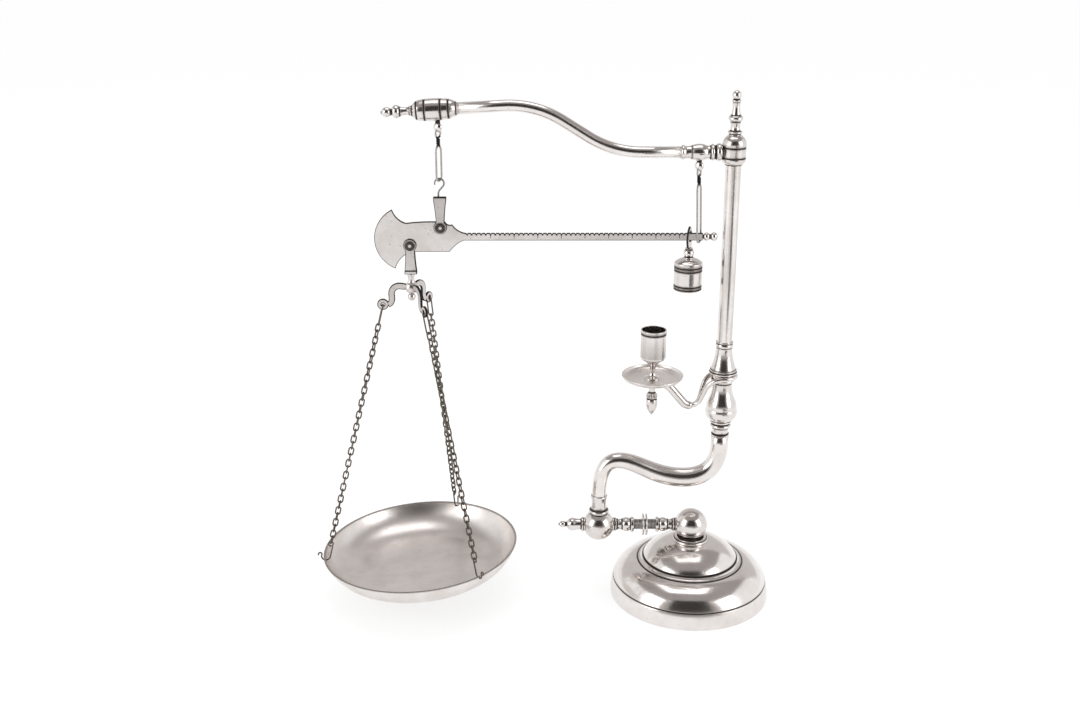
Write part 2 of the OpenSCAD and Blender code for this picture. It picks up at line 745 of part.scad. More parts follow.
module column_collar() {
    h = column_collar_h;
    color(silver)
    on_column(column_collar_z) {
        spun(concat(
            [[0, 0], [column_collar_r - 0.6, 0]],
            bow([column_collar_r - 0.6, 0.4], [column_collar_r - 0.6, h - 1.6], -0.6, 6),
            [[column_collar_r - 0.9, h - 1.2], [column_collar_r - 0.1, h - 0.8], [column_collar_r - 0.1, h],
             [0, h]]));
        translate([0, 0, h - 0.5]) cylinder(r = spigot_r, h = 10);
    }
}

module column_tube() {
    color(silver)
    on_column(tube_z)
    difference() {
        cylinder(r = tube_r, h = head_z - tube_z);
        translate([0, 0, -1]) cylinder(r = tube_bore_r, h = head_z - tube_z + 2);
    }
}

module head_knob() {
    color(silver)
    difference() {
        on_column(head_z) {
            spun(concat(
                [[0, 0], [tube_r + 0.6, 0], [tube_r + 0.9, 0.5]],
                bow([tube_r + 1, 0.8], [knob_r, 6.4], -1, 6),
                [[knob_r, knob_h - 9.6]],
                bow([knob_r, knob_h - 9.6], [7.2, knob_h - 1], -1.4, 8),
                [[6.4, knob_h], [0, knob_h]]),
                [], [[knob_r, 6.7], [knob_r, 16]]);
            translate([0, 0, -12]) cylinder(r = spigot_r, h = 13);
        }
        on_column(knob_top_z - 7) cylinder(r = 2.5 + fit, h = 9);
        translate([column_x - knob_r - 8, 0, root_z]) rotate([0, 90, 0]) cylinder(r = 5 + fit, h = 13);
        translate([column_x - knob_r - 4, 0, root_z]) rotate([0, 90, 0]) cylinder(r = 8.6, h = 5.2);
    }
}

module top_finial() {
    l = head_finial_l;
    color(silver)
    on_column(knob_top_z) {
        spun(concat(
            [[0, 0], [5.4, 0], [5.4, 0.8], [4.6, 1.2]],
            bow([6, 1.8], [6, 3.6], -0.5, 4),
            [[4.6, 4.2]],
            bow([4.4, 4.6], [4.7, l - 27.4], 0.4, 5),
            bow([5.2, l - 27], [5.2, l - 22.4], -1.3, 7),
            bow([4.4, l - 21.8], [3.4, l - 10.4], 0.6, 6),
            [[3.9, l - 9.4], [3.9, l - 8.6], [2.8, l - 8.2]],
            bow([2.9, l - 7.6], [0.4, l], -2.3, 9),
            [[0, l]]));
        translate([0, 0, -6.5]) cylinder(r = 2.5, h = 7);
    }
}

/* Arm pieces */
module at_root(x) translate([x, 0, root_z]) rotate([0, 90, 0]) children();

module arm_root() {
    span = column_x - knob_r + 1.2 - root_tip_x;
    color(silver)
    difference() {
        at_root(root_tip_x) {
            spun(concat(
                [[0, 0], [6.1, 0]],
                bow([6.2, 0.2], [6.2, 2.4], -0.4, 4),
                [[5.9, 2.8]],
                bow([5.8, 3], [6.1, 8.8], 0.5, 5),
                bow([6.1, 9], [6.3, 22], -1.4, 9),
                bow([6.1, 22.4], [6.1, 25.6], 0.2, 3),
                bow([7, 26.4], [7, 28.8], -0.5, 4),
                [[6.2, 29.4], [6.2, 30.6]],
                bow([6.8, 31], [6.8, span - 1.6], -1.2, 6),
                [[6, span - 1], [6, span], [0, span]]));
            translate([0, 0, span - 1]) cylinder(r = 5, h = 4.4);
        }
        at_root(root_tip_x - 1) cylinder(r = arm_r + fit, h = socket_l + 1);
        translate([stay_eye_x, 0, root_z - 12]) cylinder(r = 1.6 + fit, h = 9.5 + fit);
        translate([stay_eye_x, 0, root_z - 12]) cylinder(r = 2.2 + fit, h = 5.5);
    }
}

module arm_rod() {
    moves = [[socket_l - 0.5 + lead_l, 0], [bend_r, end_slope + arm_slope], [arm_run, 0], [bend_r, -arm_slope],
             [root_tip_x + socket_l - 0.5 - arm_foot_x, 0]];
    start = [lead_x, lead_z] - (socket_l - 0.5) * [cos(end_slope), sin(end_slope)];
    points = concat([start], run_points(moves, start, 90 - end_slope, 4));
    color(silver) sweep([for (q = points) [q[0], 0, q[1]]], [for (q = points) arm_r], [0, 1, 0], 20);
}

module at_barrel() translate([barrel_x, 0, barrel_z]) rotate([0, 90 - end_slope, 0]) children();

module arm_barrel() {
    l = barrel_l;
    color(silver)
    difference() {
        at_barrel() spun(concat(
            [[0, 0], [4.6, 0], [4.8, 0.6]],
            bow([4.8, 1], [barrel_r - 0.8, 7.4], -0.9, 6),
            bow([barrel_r - 0.8, 7.4], [barrel_r - 0.8, l - 10.6], -0.8, 8),
            bow([barrel_r - 0.8, l - 10.6], [6.4, l - 1.6], -0.7, 6),
            [[6, l - 1], [6, l], [0, l]]),
            [], [[barrel_r - 1.9, 5], [barrel_r - 0.6, 12], [barrel_r - 0.6, l - 14.6], [barrel_r - 1.6, l - 7.6]]);
        at_barrel() translate([0, 0, l - socket_l]) cylinder(r = arm_r + fit, h = socket_l + 1);
        at_barrel() translate([0, 0, -1]) cylinder(r = 2.5 + fit, h = 7);
        translate([-fulcrum_x, 0, hang_z - barrel_r - 2]) cylinder(r = 1.6 + fit, h = 8);
        translate([-fulcrum_x, 0, hang_z - barrel_r - 2]) cylinder(r = 2.2 + fit, h = 2.6);
    }
}

module arm_finial() {
    l = arm_finial_l;
    color(silver)
    at_barrel() rotate([180, 0, 0]) {
        spun(concat(
            [[0, 0], [4.4, 0], [4.6, 0.6], [4.2, 1.2]],
            bow([4, 1.4], [4.2, 9.6], 0.8, 6),
            bow([4.2, 10], [3.6, 16.6], -2, 8),
            [[2.8, 17.2], [2.8, 17.8]],
            bow([2.9, 18.2], [1.4, l - 0.8], -2.2, 8),
            [[0.8, l], [0, l]]));
        translate([0, 0, -5.5]) cylinder(r = 2.5, h = 6);
    }
}

// Ball eye under z = 0 with a neck and a peg above it, bored along Y near its foot
module ball_eye(neck) {
    difference() {
        union() {
            translate([0, 0, -eye_r])
            intersection() {
                sphere(r = eye_r);
                cube([2 * eye_r, eye_t, 2 * eye_r], center = true);
            }
            translate([0, 0, -1.2]) cylinder(r = 2.2, h = neck + 1.2);
            translate([0, 0, neck - 0.5]) cylinder(r = 1.6, h = 4.5);
        }
        translate([0, 0, -eye_r - eye_drop]) rotate([90, 0, 0]) cylinder(r = eye_hole_r, h = 20, center = true);
    }
}

module hook_eye() {
    color(silver) translate([-fulcrum_x, 0, eye_z + eye_r]) rotate([0, 0, -link_turn]) ball_eye(2.2);
}

module stay_eye() {
    color(silver) translate([stay_eye_x, 0, stay_eye_z + eye_r]) rotate([0, 0, -link_turn]) ball_eye(1.6);
}

/* Hanging links */
// Long link in the YZ plane: a ring in the eye at z = 0, a wrapped neck, and a loop down to the wire at -l
module long_link(l) {
    r = link_wire_r;
    ring_low = -2 * top_ring_r;
    loop_top = ring_low - 6.4;
    start = r * 0.6;
    flare_r = 5;
    flare = 40;
    slant = (link_w / 2 - start - flare_r * (1 - cos(flare))) / sin(flare);
    side = loop_top - slant * cos(flare) - flare_r * sin(flare) + l - link_w / 2;
    rotate([0, 0, 90]) {
        translate([0, 0, -top_ring_r]) rotate([90, 0, 0]) rotate_extrude() translate([top_ring_r, 0]) circle(r = r);
        for (i = [0 : 2])
            translate([0, 0, ring_low - r - 1.1 - i * 1.8])
            rotate_extrude() translate([r * 1.1, 0]) circle(r = r * 0.95);
        translate([0, 0, loop_top - 0.8]) cylinder(r = r * 1.2, h = -loop_top + ring_low + 0.8);
        translate([-start, 0, loop_top])
        rotate([0, 180 + flare, 0])
        wire(r, [[slant, 0], [flare_r, -flare], [side, 0], [link_w / 2, -180], [side, 0],
                 [flare_r, -flare], [slant, 0]], 0.2);
    }
}

module suspension_link() {
    top = eye_z - eye_drop;
    color(silver) translate([-fulcrum_x, 0, top]) rotate([0, 0, -link_turn]) long_link(top - link_low_z);
}

module stay_loop() {
    top = [stay_eye_x, 0, stay_eye_z - eye_drop];
    foot = [-stay_x, 0, stay_low_z];
    color(silver)
    aimed(top, top - foot, [cos(link_turn), -sin(link_turn), 0])
    long_link(norm(top - foot));
}

module shackle_hook() {
    color(shade)
    translate([-fulcrum_x + hook_x, 0, fulcrum_z + shackle_h - 1.6])
    wire(hook_wire_r, [[hook_shank, 0], [hook_lean_r, hook_lean], [hook_straight, 0], [hook_bend_r, -240]]);
}

// Side outline of a shackle: a tapered leg of width top at z = h, and a round eye at the origin
module shackle_side(h, top, leg) {
    circle(r = shackle_eye_r);
    polygon(concat(
        [[-top / 2, h], [-top / 2, h - 2.4]],
        bow([-top / 2, h - 2.4], [-leg / 2, 4], 0.3, 5),
        bow([leg / 2, 4], [top / 2, h - 2.4], 0.3, 5),
        [[top / 2, h]]));
}

module shackle(h, top, leg) {
    difference() {
        union() {
            for (s = [-1, 1])
                translate([0, s > 0 ? leg_y + shackle_t : -leg_y, 0])
                rotate([90, 0, 0])
                linear_extrude(height = shackle_t) shackle_side(h, top, leg);
            translate([-top / 2, -leg_y - shackle_t, h - 2]) cube([top, 2 * (leg_y + shackle_t), 2]);
        }
        rotate([90, 0, 0]) cylinder(r = pin_r + fit, h = 40, center = true);
        for (s = [-1, 1])
            translate([0, s * (leg_y + shackle_t), 0])
            rotate([90, 0, 0])
            difference() {
                cylinder(r = eye_recess_r, h = 1, center = true);
                cylinder(r = pin_r + 0.9, h = 2, center = true);
            }
    }
}

module shackle_pin() {
    half = leg_y + shackle_t;
    rotate([90, 0, 0]) {
        cylinder(r = pin_r, h = 2 * half, center = true);
        for (s = [0, 1])
            mirror([0, 0, s])
            translate([0, 0, half])
            cylinder(r1 = pin_r + 0.5, r2 = pin_r - 0.5, h = pin_head_h);
    }
}

module fulcrum_shackle() {
    color(silver)
    translate([-fulcrum_x, 0, fulcrum_z])
    difference() {
        shackle(shackle_h, shackle_w, shackle_leg_w);
        translate([hook_x, 0, shackle_h - 1.6]) cylinder(r = hook_wire_r + fit, h = 5);
    }
}

module fulcrum_pin() {
    color(shade) translate([-fulcrum_x, 0, fulcrum_z]) shackle_pin();
}

module load_shackle() {
    color(silver)
    translate([-load_x, 0, load_z])
    difference() {
        mirror([0, 0, 1]) shackle(load_shackle_h, shackle_w - 0.4, shackle_leg_w + 1);
        translate([0, 0, -load_shackle_h - 1]) cylinder(r = spindle_r + fit, h = 4);
    }
}

module load_pin() {
    color(shade) translate([-load_x, 0, load_z]) shackle_pin();
}

/* Beam */
// Place on the axe, given at a reach of 43.6
axe_k = axe_reach / 43.6;
function from_fulcrum(x, z) = [-fulcrum_x + x * axe_k, fulcrum_z + z * axe_k];
bar_start = 18 * axe_k;
bar_x0 = -fulcrum_x + bar_start;
notch_x0 = bar_x0 + 6;
notch_count = floor((-bar_end_x - notch_x0 - 13) / notch_pitch);

module beam_outline() {
    blade_top = from_fulcrum(-43.6, 16.2);
    blade_low = from_fulcrum(-42.2, -38.7);
    cusp = from_fulcrum(-30.4, 3.8);
    difference() {
        union() {
            polygon(concat(
                bow(blade_top, blade_low, -17.6 * axe_k, 24),
                bow(blade_low, from_fulcrum(-33.6, -26.4), 1.2 * axe_k, 5),
                bow(from_fulcrum(-33.6, -26.4), from_fulcrum(-22, -22.8), 0.8 * axe_k, 4),
                [from_fulcrum(8, -22.8)],
                bow(from_fulcrum(8, -22.8), [bar_x0 - 0.4, bar_low_z - 1.6], -1.2 * axe_k, 5),
                [[bar_x0 + 3, bar_low_z]],
                [[-bar_end_x, bar_low_z], [-bar_end_x, bar_top_z], [bar_x0 + 4, bar_top_z]],
                bow([bar_x0 + 4, bar_top_z], from_fulcrum(10.6, 2.4), -1.4 * axe_k, 6),
                bow(from_fulcrum(10.6, 2.4), from_fulcrum(4.6, 4.6), 1.4 * axe_k, 4),
                bow(from_fulcrum(3.4, 4.8), cusp, -0.8 * axe_k, 6),
                bow(cusp, from_fulcrum(-33.2, 4.4), 0.2 * axe_k, 3),
                bow(from_fulcrum(-33.2, 4.4), blade_top, 1.8 * axe_k, 8)));
            translate([-load_x, load_z]) circle(r = shackle_eye_r + 0.6);
            translate([-fulcrum_x, fulcrum_z]) circle(r = shackle_eye_r);
        }
        for (i = [0 : notch_count])
            translate([notch_x0 + i * notch_pitch, bar_top_z])
            polygon([[-0.8, 0.1], [0.8, 0.1], [0, -notch_d]]);
    }
}

module beam() {
    color(silver)
    difference() {
        translate([0, beam_t / 2, 0]) rotate([90, 0, 0]) linear_extrude(height = beam_t) beam_outline();
        for (p = [[-fulcrum_x, fulcrum_z], [-load_x, load_z]])
            translate([p[0], 0, p[1]]) rotate([90, 0, 0]) cylinder(r = pin_r + fit, h = 20, center = true);
        for (i = [5 : 5 : notch_count])
            translate([notch_x0 + i * notch_pitch - 0.25, -beam_t / 2 - 0.7, bar_top_z - 4.6]) cube([0.5, 1, 6]);
        translate([-bar_end_x - 5, 0, bar_low_z + bar_h / 2]) rotate([0, 90, 0]) cylinder(r = 1, h = 9);
    }
}

module beam_finial() {
    color(silver)
    translate([-bar_end_x, 0, bar_low_z + bar_h / 2])
    rotate([0, 90, 0]) {
        spun(concat(
            [[0, 0], [1.4, 0]],
            bow([1.4, 0.4], [2.2, 6.2], -2.1, 8),
            [[2.2, 7]],
            bow([2.4, 7.4], [1.2, 13.4], -2.2, 8),
            [[0, 13.8]]));
        translate([0, 0, -4.6]) cylinder(r = 1 - fit, h = 5);
    }
}

/* Spider, chains and pan */
module spider_hub() {
    color(silver)
    translate([-load_x, 0, 0]) {
        translate([0, 0, hub_z]) sphere(r = hub_r);
        translate([0, 0, hub_z + hub_r - 1.6]) spun(concat(
            [[0, 0], [3.4, 0]],
            bow([3.4, 0.6], [3.7, load_foot_z - fit - hub_z - hub_r + 0.2], 0.7, 5),
            [[3.7, load_foot_z - fit - hub_z - hub_r + 1.6], [0, load_foot_z - fit - hub_z - hub_r + 1.6]]));
        translate([0, 0, load_foot_z - 1]) cylinder(r = spindle_r, h = 3.6);
        translate([0, 0, load_foot_z + 2 + fit]) cylinder(r = leg_y - 0.15, h = 1.2);
    }
}

// Flat band of varying width along points [x, y, half width]
module band(p) {
    last = len(p) - 1;
    function side(i, s) = let(
        t = unit([p[min(i + 1, last)][0] - p[max(i - 1, 0)][0], p[min(i + 1, last)][1] - p[max(i - 1, 0)][1]]))
        [p[i][0] - s * t[1] * p[i][2], p[i][1] + s * t[0] * p[i][2]];
    polygon(concat([for (i = [0 : last]) side(i, 1)], [for (i = [last : -1 : 0]) side(i, -1)]));
}

module spider_arm() {
    way = [[4, 0.4, 3.2], [8, 1, 3.6], [12.2, 1.3, 3.6], [15.6, 0, 3.6], [17.8, -2.6, 3.6], [18.6, -5.8, 3.5],
           [18.5, -9.2, 3.5], [18.6, -12.4, 3.5], [19.8, -15.2, 3.4], [22.4, -17, 3]];
    kx = spider_reach / 27;
    kz = spider_drop / 16.4;
    rotate([90, 0, 0])
    linear_extrude(height = spider_t, center = true)
    difference() {
        union() {
            band([for (w = way) [w[0] * kx, w[1] * kz, w[2]]]);
            translate([spider_reach, scroll_z - hub_z]) circle(r = scroll_r);
        }
        translate([spider_reach, scroll_z - hub_z]) circle(r = scroll_hole_r);
    }
}

module spider_arms() {
    color(shade)
    translate([-load_x, 0, hub_z])
    difference() {
        for (a = spider_angles) rotate([0, 0, a]) spider_arm();
        sphere(r = hub_r + fit);
    }
}

module spider_finial() {
    color(shade)
    translate([-load_x, 0, hub_z - hub_r - 3])
    difference() {
        sphere(r = 3.7);
        translate([0, 0, hub_r + 3]) sphere(r = hub_r + fit);
    }
}

// Where the hooks hold the pan and where the top links hang
function tilted(p) = [
    p[0] * cos(pan_tilt) - p[2] * sin(pan_tilt), p[1],
    p[0] * sin(pan_tilt) + p[2] * cos(pan_tilt)] + [-pan_x, 0, pan_z];
function hook_foot(k) = let(a = spider_angles[k] + pan_turn)
    tilted([pan_hole_rho * cos(a), pan_hole_rho * sin(a), pan_hole_z]);
function scroll_eye(k) = let(a = spider_angles[k])
    [-load_x + spider_reach * cos(a), spider_reach * sin(a), scroll_z];
function outward(k) = let(a = spider_angles[k] + pan_turn) [cos(a), sin(a), 0];
function chain_l(k) = norm(scroll_eye(k) - hook_foot(k)) - hook_l - top_link_l;

// Puts a piece at the distance d up the chain k from the pan's hole, with its X outward
module on_chain(k, d) {
    foot = hook_foot(k);
    way = scroll_eye(k) - foot;
    aimed(foot + d * unit(way), way, outward(k)) children();
}

module chain(k) {
    pitch = chain_l(k) / chain_links;
    half = pitch / 2 + chain_wire_r + slip / 2;
    for (i = [0 : chain_links - 1])
        on_chain(k, hook_l + (i + 0.5) * pitch)
        rotate([0, 0, 90 + 90 * i - 22 + 44 * i / chain_links])
        oval_link(-half, half, chain_bend_r, chain_wire_r);
}

module chain_left() color(tarnish) chain(0);
module chain_front() color(tarnish) chain(1);
module chain_back() color(tarnish) chain(2);

module top_links() {
    color(shade)
    for (k = [0 : 2])
        on_chain(k, hook_l + chain_l(k))
        rotate([0, 0, 90])
        oval_link(-chain_wire_r - slip / 2, top_link_l, chain_bend_r, chain_wire_r);
}

module pan_hooks() {
    bend = 4.3;
    eye = 2.2;
    low = 0.3;
    color(shade)
    for (k = [0 : 2])
        on_chain(k, 0)
        translate([-eye, 0, bend - low]) {
            wire(chain_wire_r, [[hook_l + chain_wire_r + slip / 2 - eye + low - bend, 0], [eye, 300]]);
            rotate([0, 180, 0]) wire(chain_wire_r, [[bend, -180], [1, 0], [1.7, 220]]);
        }
}

module pan() {
    bead = pan_r - rim_bead_r;
    color(silver)
    translate([-pan_x, 0, pan_z])
    rotate([0, -pan_tilt, 0])
    difference() {
        spun(concat(
            [[0, -pan_depth], [pan_floor_r, -pan_depth]],
            bow([pan_floor_r, -pan_depth], [bead + pan_t / 2, -rim_bead_r], -6.4, 12),
            bow([bead - pan_t / 2, -rim_bead_r], [pan_floor_r - 0.5, pan_t - pan_depth], 6.2, 12),
            [[0, pan_t - pan_depth]]),
            [[bead, -rim_bead_r, rim_bead_r]]);
        for (a = spider_angles)
            rotate([0, 0, a + pan_turn])
            translate([pan_hole_rho, 0, pan_hole_z])
            rotate([0, 90, 0]) cylinder(r = pan_hole_r, h = 12, center = true);
    }
}

/* Poise */
poise_seat_z = bar_top_z - notch_d + 0.2;
poise_neck_h = 9.5;
poise_top_z = bar_low_z - 7.3 - poise_neck_h;
module poise_hook() {
    foot = poise_top_z + poise_neck_h + fit - bar_top_z;
    color(silver) translate([-poise_x, 0, bar_top_z + foot - 3]) cylinder(r = 0.9, h = 4);
    color(silver)
    translate([-poise_x, 0, bar_top_z])
    rotate([0, 0, -poise_turn])
    rotate([90, 0, 90])
    linear_extrude(height = 2, center = true)
    difference() {
        polygon(concat(
            bow([-3, foot], [-5.2, -4], 0.7, 5),
            bow([-5.2, -4], [0, 6.2], 1.2, 8),
            bow([0, 6.2], [5.2, -4], 1.2, 8),
            bow([5.2, -4], [3, foot], 0.7, 5)));
        polygon(concat(
            [[-1.8, -bar_h - 1.2], [-3.3, -bar_h + 0.6]],
            bow([-3.3, -3.4], [0, 2.4], 1.1, 7),
            bow([0, 2.4], [3.3, -3.4], 1.1, 7),
            [[3.3, -bar_h + 0.6], [1.8, -bar_h - 1.2]]));
    }
}

module poise_neck() {
    color(silver)
    translate([-poise_x, 0, poise_top_z])
    difference() {
        spun(concat(
            [[0, 0], [5, 0], [5, 0.5], [4, 1.1]],
            bow([3.4, 1.4], [3, poise_neck_h - 1.1], -1.8, 8),
            [[3.6, poise_neck_h - 0.5], [3.6, poise_neck_h], [0, poise_neck_h]]));
        translate([0, 0, poise_neck_h - 3.1]) cylinder(r = 0.9 + fit, h = 4);
    }
}

module poise_body() {
    color(silver)
    translate([-poise_x, 0, poise_top_z - poise_h])
    difference() {
        spun(concat(
            [[0, 0], [poise_r - 0.6, 0], [poise_r, 0.6], [poise_r, poise_h - 4]],
            bow([poise_r - 0.5, poise_h - 3.5], [5.2, poise_h], -0.5, 6),
            [[0, poise_h]]),
            [], [[poise_r, 1.8], [poise_r, 4.6], [poise_r, poise_h - 7.8], [poise_r, poise_h - 10.8]]);
        translate([0, 0, 1.6]) cylinder(r = poise_r - 2.6, h = poise_h - 8);
    }
}

module poise_core() {
    color(lead)
    translate([-poise_x, 0, poise_top_z - poise_h + 1.6]) cylinder(r = poise_r - 2.6 - fit, h = poise_h - 8 - fit);
}

/* Candle pieces */
module candle_ring() {
    color(silver)
    on_column(ring_z) rotate([0, 0, -90]) rotate_extrude(angle = 180) translate([ring_r, 0]) circle(r = ring_wire_r);
}

// Rod that dives from the drip pan's boss to the fork, and the two strands that climb from there to the ring
module candle_arm() {
    dive_run = (rod_z - fork_z - (dive_r + fork_r) * (1 - cos(dive))) / sin(dive);
    dive_x = fork_x - fork_r * sin(dive) - dive_run * cos(dive) - dive_r * sin(dive);
    lean = cos(strand_slope);
    rise = sin(strand_slope);
    run = column_x - fork_x - strand_end;
    straight = (norm([ring_r, ring_z - fork_z]) * rise - run * (1 - lean)) / (rise * rise - lean * (1 - lean));
    bends = (run - straight * lean) / rise;
    tilt = atan2(ring_r, ring_z - fork_z);
    rod_start = [-candle_x + boss_seat, rod_z];
    rod = concat([rod_start], run_points(
        [[dive_x + candle_x - boss_seat, 0], [dive_r, dive], [dive_run, 0], [fork_r, -dive]], rod_start, 90, 7));
    strand = concat([[-1.5, 0], [0, 0]], run_points(
        [[fork_r, -strand_slope], [straight, 0], [bends - fork_r, strand_slope], [strand_end, 0]], [0, 0], 90, 8));
    color(silver) {
        sweep([for (q = rod) [q[0], 0, q[1]]], [for (q = rod) rod_r], [0, 1, 0], 16);
        for (s = [-1, 1])
            sweep([for (q = strand) [fork_x + q[0], s * q[1] * sin(tilt), fork_z + q[1] * cos(tilt)]],
                  [for (q = strand) ring_wire_r], [0, 1, 0], 14);
    }
}

module candle_boss() {
    color(silver)
    translate([-candle_x, 0, drip_z - boss_l])
    difference() {
        cylinder(r = boss_w, h = boss_l);
        translate([0, 0, -1]) cylinder(r = screw_r + fit, h = boss_l + 2);
        translate([boss_seat, 0, rod_z - drip_z + boss_l]) rotate([0, 90, 0]) cylinder(r = rod_r + fit, h = 9);
    }
}

module drip_pan() {
    color(silver)
    translate([-candle_x, 0, drip_z])
    difference() {
        spun(concat(
            [[0, 0], [drip_r - 4.6, 0]],
            bow([drip_r - 4.6, 0], [drip_r, 4.4], -0.8, 5),
            [[drip_r - 0.3, 4.9], [drip_r - 1, 4.8]],
            bow([drip_r - 1.2, 4.4], [drip_r - 5, drip_t], 0.7, 5),
            [[0, drip_t]]));
        translate([0, 0, -1]) cylinder(r = screw_r + fit, h = drip_t + 2);
    }
}

module candle_socket() {
    r = candle_bore_r + candle_wall;
    h = candle_z - drip_floor_z;
    floor_h = candle_floor_z - drip_floor_z;
    color(silver)
    translate([-candle_x, 0, drip_floor_z])
    difference() {
        spun(concat(
            [[0, 0], [7.8, 0], [7.8, 0.8]],
            bow([7.4, 1.2], [2.6, 6.6], 1.4, 6),
            [[2.3, 8.4]],
            bow([2.4, 9.4], [r - 1.6, floor_h - 3.2], 1.2, 7),
            bow([r - 1.6, floor_h - 3.2], [r, floor_h - 1], -0.5, 4),
            [[r, h - 3.6], [r + 0.3, h - 3], [r + 0.3, h], [0, h]]),
            [], [[r + 0.2, h - 3.4]]);
        translate([0, 0, floor_h]) cylinder(r = candle_bore_r, h = candle_bore_l + 1);
        translate([0, 0, -1]) cylinder(r = screw_r + fit, h = 6);
    }
}

module acorn_finial() {
    top = drip_z - boss_l;
    color(silver)
    translate([-candle_x, 0, top - 28.4]) {
        spun(concat(
            [[0, 0], [0.5, 0.1]],
            bow([0.8, 0.4], [5.6, 11.6], -1.1, 7),
            bow([5.6, 11.6], [5, 16], -0.2, 3),
            [[4.4, 16.6]],
            bow([4.6, 17], [4, 22.4], -1, 6),
            [[3, 23.2], [3, 28.4], [0, 28.4]]));
        cylinder(r = screw_r, h = 28.4 + boss_l + drip_t + 4.6);
    }
}

base_pad();
base_dome();
base_loading();
base_stud();
base_washer();
base_nut();
neck_collar();
base_ball();
right_shaft();
threaded_stud();
lock_ring_right();
lock_ring_left();
left_shaft();
elbow_ball();
foot_finial();
elbow_collar();
s_tube();
lower_collar();
pear_baluster();
cone_baluster();
column_collar();
column_tube();
candle_ring();
candle_arm();
candle_boss();
drip_pan();
candle_socket();
acorn_finial();
head_knob();
top_finial();
arm_root();
arm_rod();
arm_barrel();
arm_finial();
hook_eye();
stay_eye();
suspension_link();
shackle_hook();
fulcrum_shackle();
fulcrum_pin();
beam();
beam_finial();
load_pin();
load_shackle();
spider_hub();
spider_arms();
spider_finial();
top_links();
chain_left();
chain_front();
chain_back();
pan_hooks();
pan();
stay_loop();
poise_hook();
poise_neck();
poise_body();
poise_core();
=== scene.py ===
"""Single pan balance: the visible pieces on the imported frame, their finishes, and the studio.

All outlines are in millimetres, in the frame of the CAD model: origin at the centre of the base's underside,
+Z up, +X from the pan towards the column. A piece is scaled to metres when it is finished.
"""

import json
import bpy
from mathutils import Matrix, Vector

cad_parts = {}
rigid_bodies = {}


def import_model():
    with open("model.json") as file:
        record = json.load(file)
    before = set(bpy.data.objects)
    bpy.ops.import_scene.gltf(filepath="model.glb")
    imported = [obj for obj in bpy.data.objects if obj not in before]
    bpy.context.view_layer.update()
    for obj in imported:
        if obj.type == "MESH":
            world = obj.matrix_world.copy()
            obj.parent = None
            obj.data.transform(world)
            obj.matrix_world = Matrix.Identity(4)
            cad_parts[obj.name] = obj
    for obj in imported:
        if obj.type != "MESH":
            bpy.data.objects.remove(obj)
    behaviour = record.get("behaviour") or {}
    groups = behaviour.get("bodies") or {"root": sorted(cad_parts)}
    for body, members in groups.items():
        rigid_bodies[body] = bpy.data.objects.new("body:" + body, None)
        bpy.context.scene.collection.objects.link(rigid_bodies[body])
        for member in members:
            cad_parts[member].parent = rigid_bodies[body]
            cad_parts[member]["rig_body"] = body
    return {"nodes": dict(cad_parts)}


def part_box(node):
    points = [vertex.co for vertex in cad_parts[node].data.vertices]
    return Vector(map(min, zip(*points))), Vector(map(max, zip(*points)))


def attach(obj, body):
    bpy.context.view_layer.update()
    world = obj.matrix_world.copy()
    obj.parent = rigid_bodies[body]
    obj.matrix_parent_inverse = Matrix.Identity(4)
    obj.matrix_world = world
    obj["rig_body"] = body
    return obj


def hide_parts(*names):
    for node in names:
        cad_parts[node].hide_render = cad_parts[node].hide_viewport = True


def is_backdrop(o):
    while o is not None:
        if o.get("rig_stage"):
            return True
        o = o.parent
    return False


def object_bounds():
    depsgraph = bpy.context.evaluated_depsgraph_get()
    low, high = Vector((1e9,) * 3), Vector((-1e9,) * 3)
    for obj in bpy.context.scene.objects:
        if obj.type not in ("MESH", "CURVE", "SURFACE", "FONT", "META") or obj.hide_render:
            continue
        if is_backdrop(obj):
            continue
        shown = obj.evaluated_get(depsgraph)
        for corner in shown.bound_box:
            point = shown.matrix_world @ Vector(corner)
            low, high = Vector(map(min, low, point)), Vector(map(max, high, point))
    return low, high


bl_info = {
    "name": "Single Pan Balance",
    "version": (1, 0, 0),
    "blender": (4, 5, 0),
    "location": "3D View > Sidebar > Balance",
    "description": "Builds the pieces, finishes and studio of a silver plated pan balance",
    "category": "Object",
}

from math import asin, atan2, ceil, cos, floor, hypot, pi, radians, sin, sqrt

import bmesh
import bpy
from bpy.props import FloatProperty, FloatVectorProperty, IntProperty, PointerProperty
from mathutils import Matrix, Vector

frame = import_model()
CAD_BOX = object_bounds()
MM = 0.001

# Turns of an outline, in radians: the least that is eased, and the inner one that holds the most tarnish and
# painted shade
LEAST_TURN = 0.36
FULL_CREVICE = 0.8
# Shares of dark colour on a plate's edge, on its broad sides, and on a wire: on the edge it is painted shade,
# on the sides and the wire dark polish
EDGE_SHADE_AND_DIRT = 0.75
FACE_DIRT = 0.04
WIRE_DIRT = 0.18


def node_box(node):
    """Lowest and highest corners of a CAD node, in millimetres."""
    low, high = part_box(node)
    return low / MM, high / MM


# Sizes and colours


def length_of(name, about, default, least=0.0):
    return FloatProperty(
        name=name, description=about, default=default, min=least, subtype="DISTANCE", unit="LENGTH")


def radius_of(node, name, about):
    """A length that starts at half of a CAD node's breadth."""
    low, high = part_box(node)
    return length_of(name, about, (high.y - low.y) / 2)


def colour_of(name, about, default):
    return FloatVectorProperty(name=name, description=about, default=default, subtype="COLOR", min=0, max=1)


def share_of(name, about, default):
    return FloatProperty(name=name, description=about, default=default, min=0, max=1, subtype="FACTOR")


def power_of(name, about, default):
    return FloatProperty(name=name, description=about, default=default, min=0, subtype="POWER", unit="POWER")


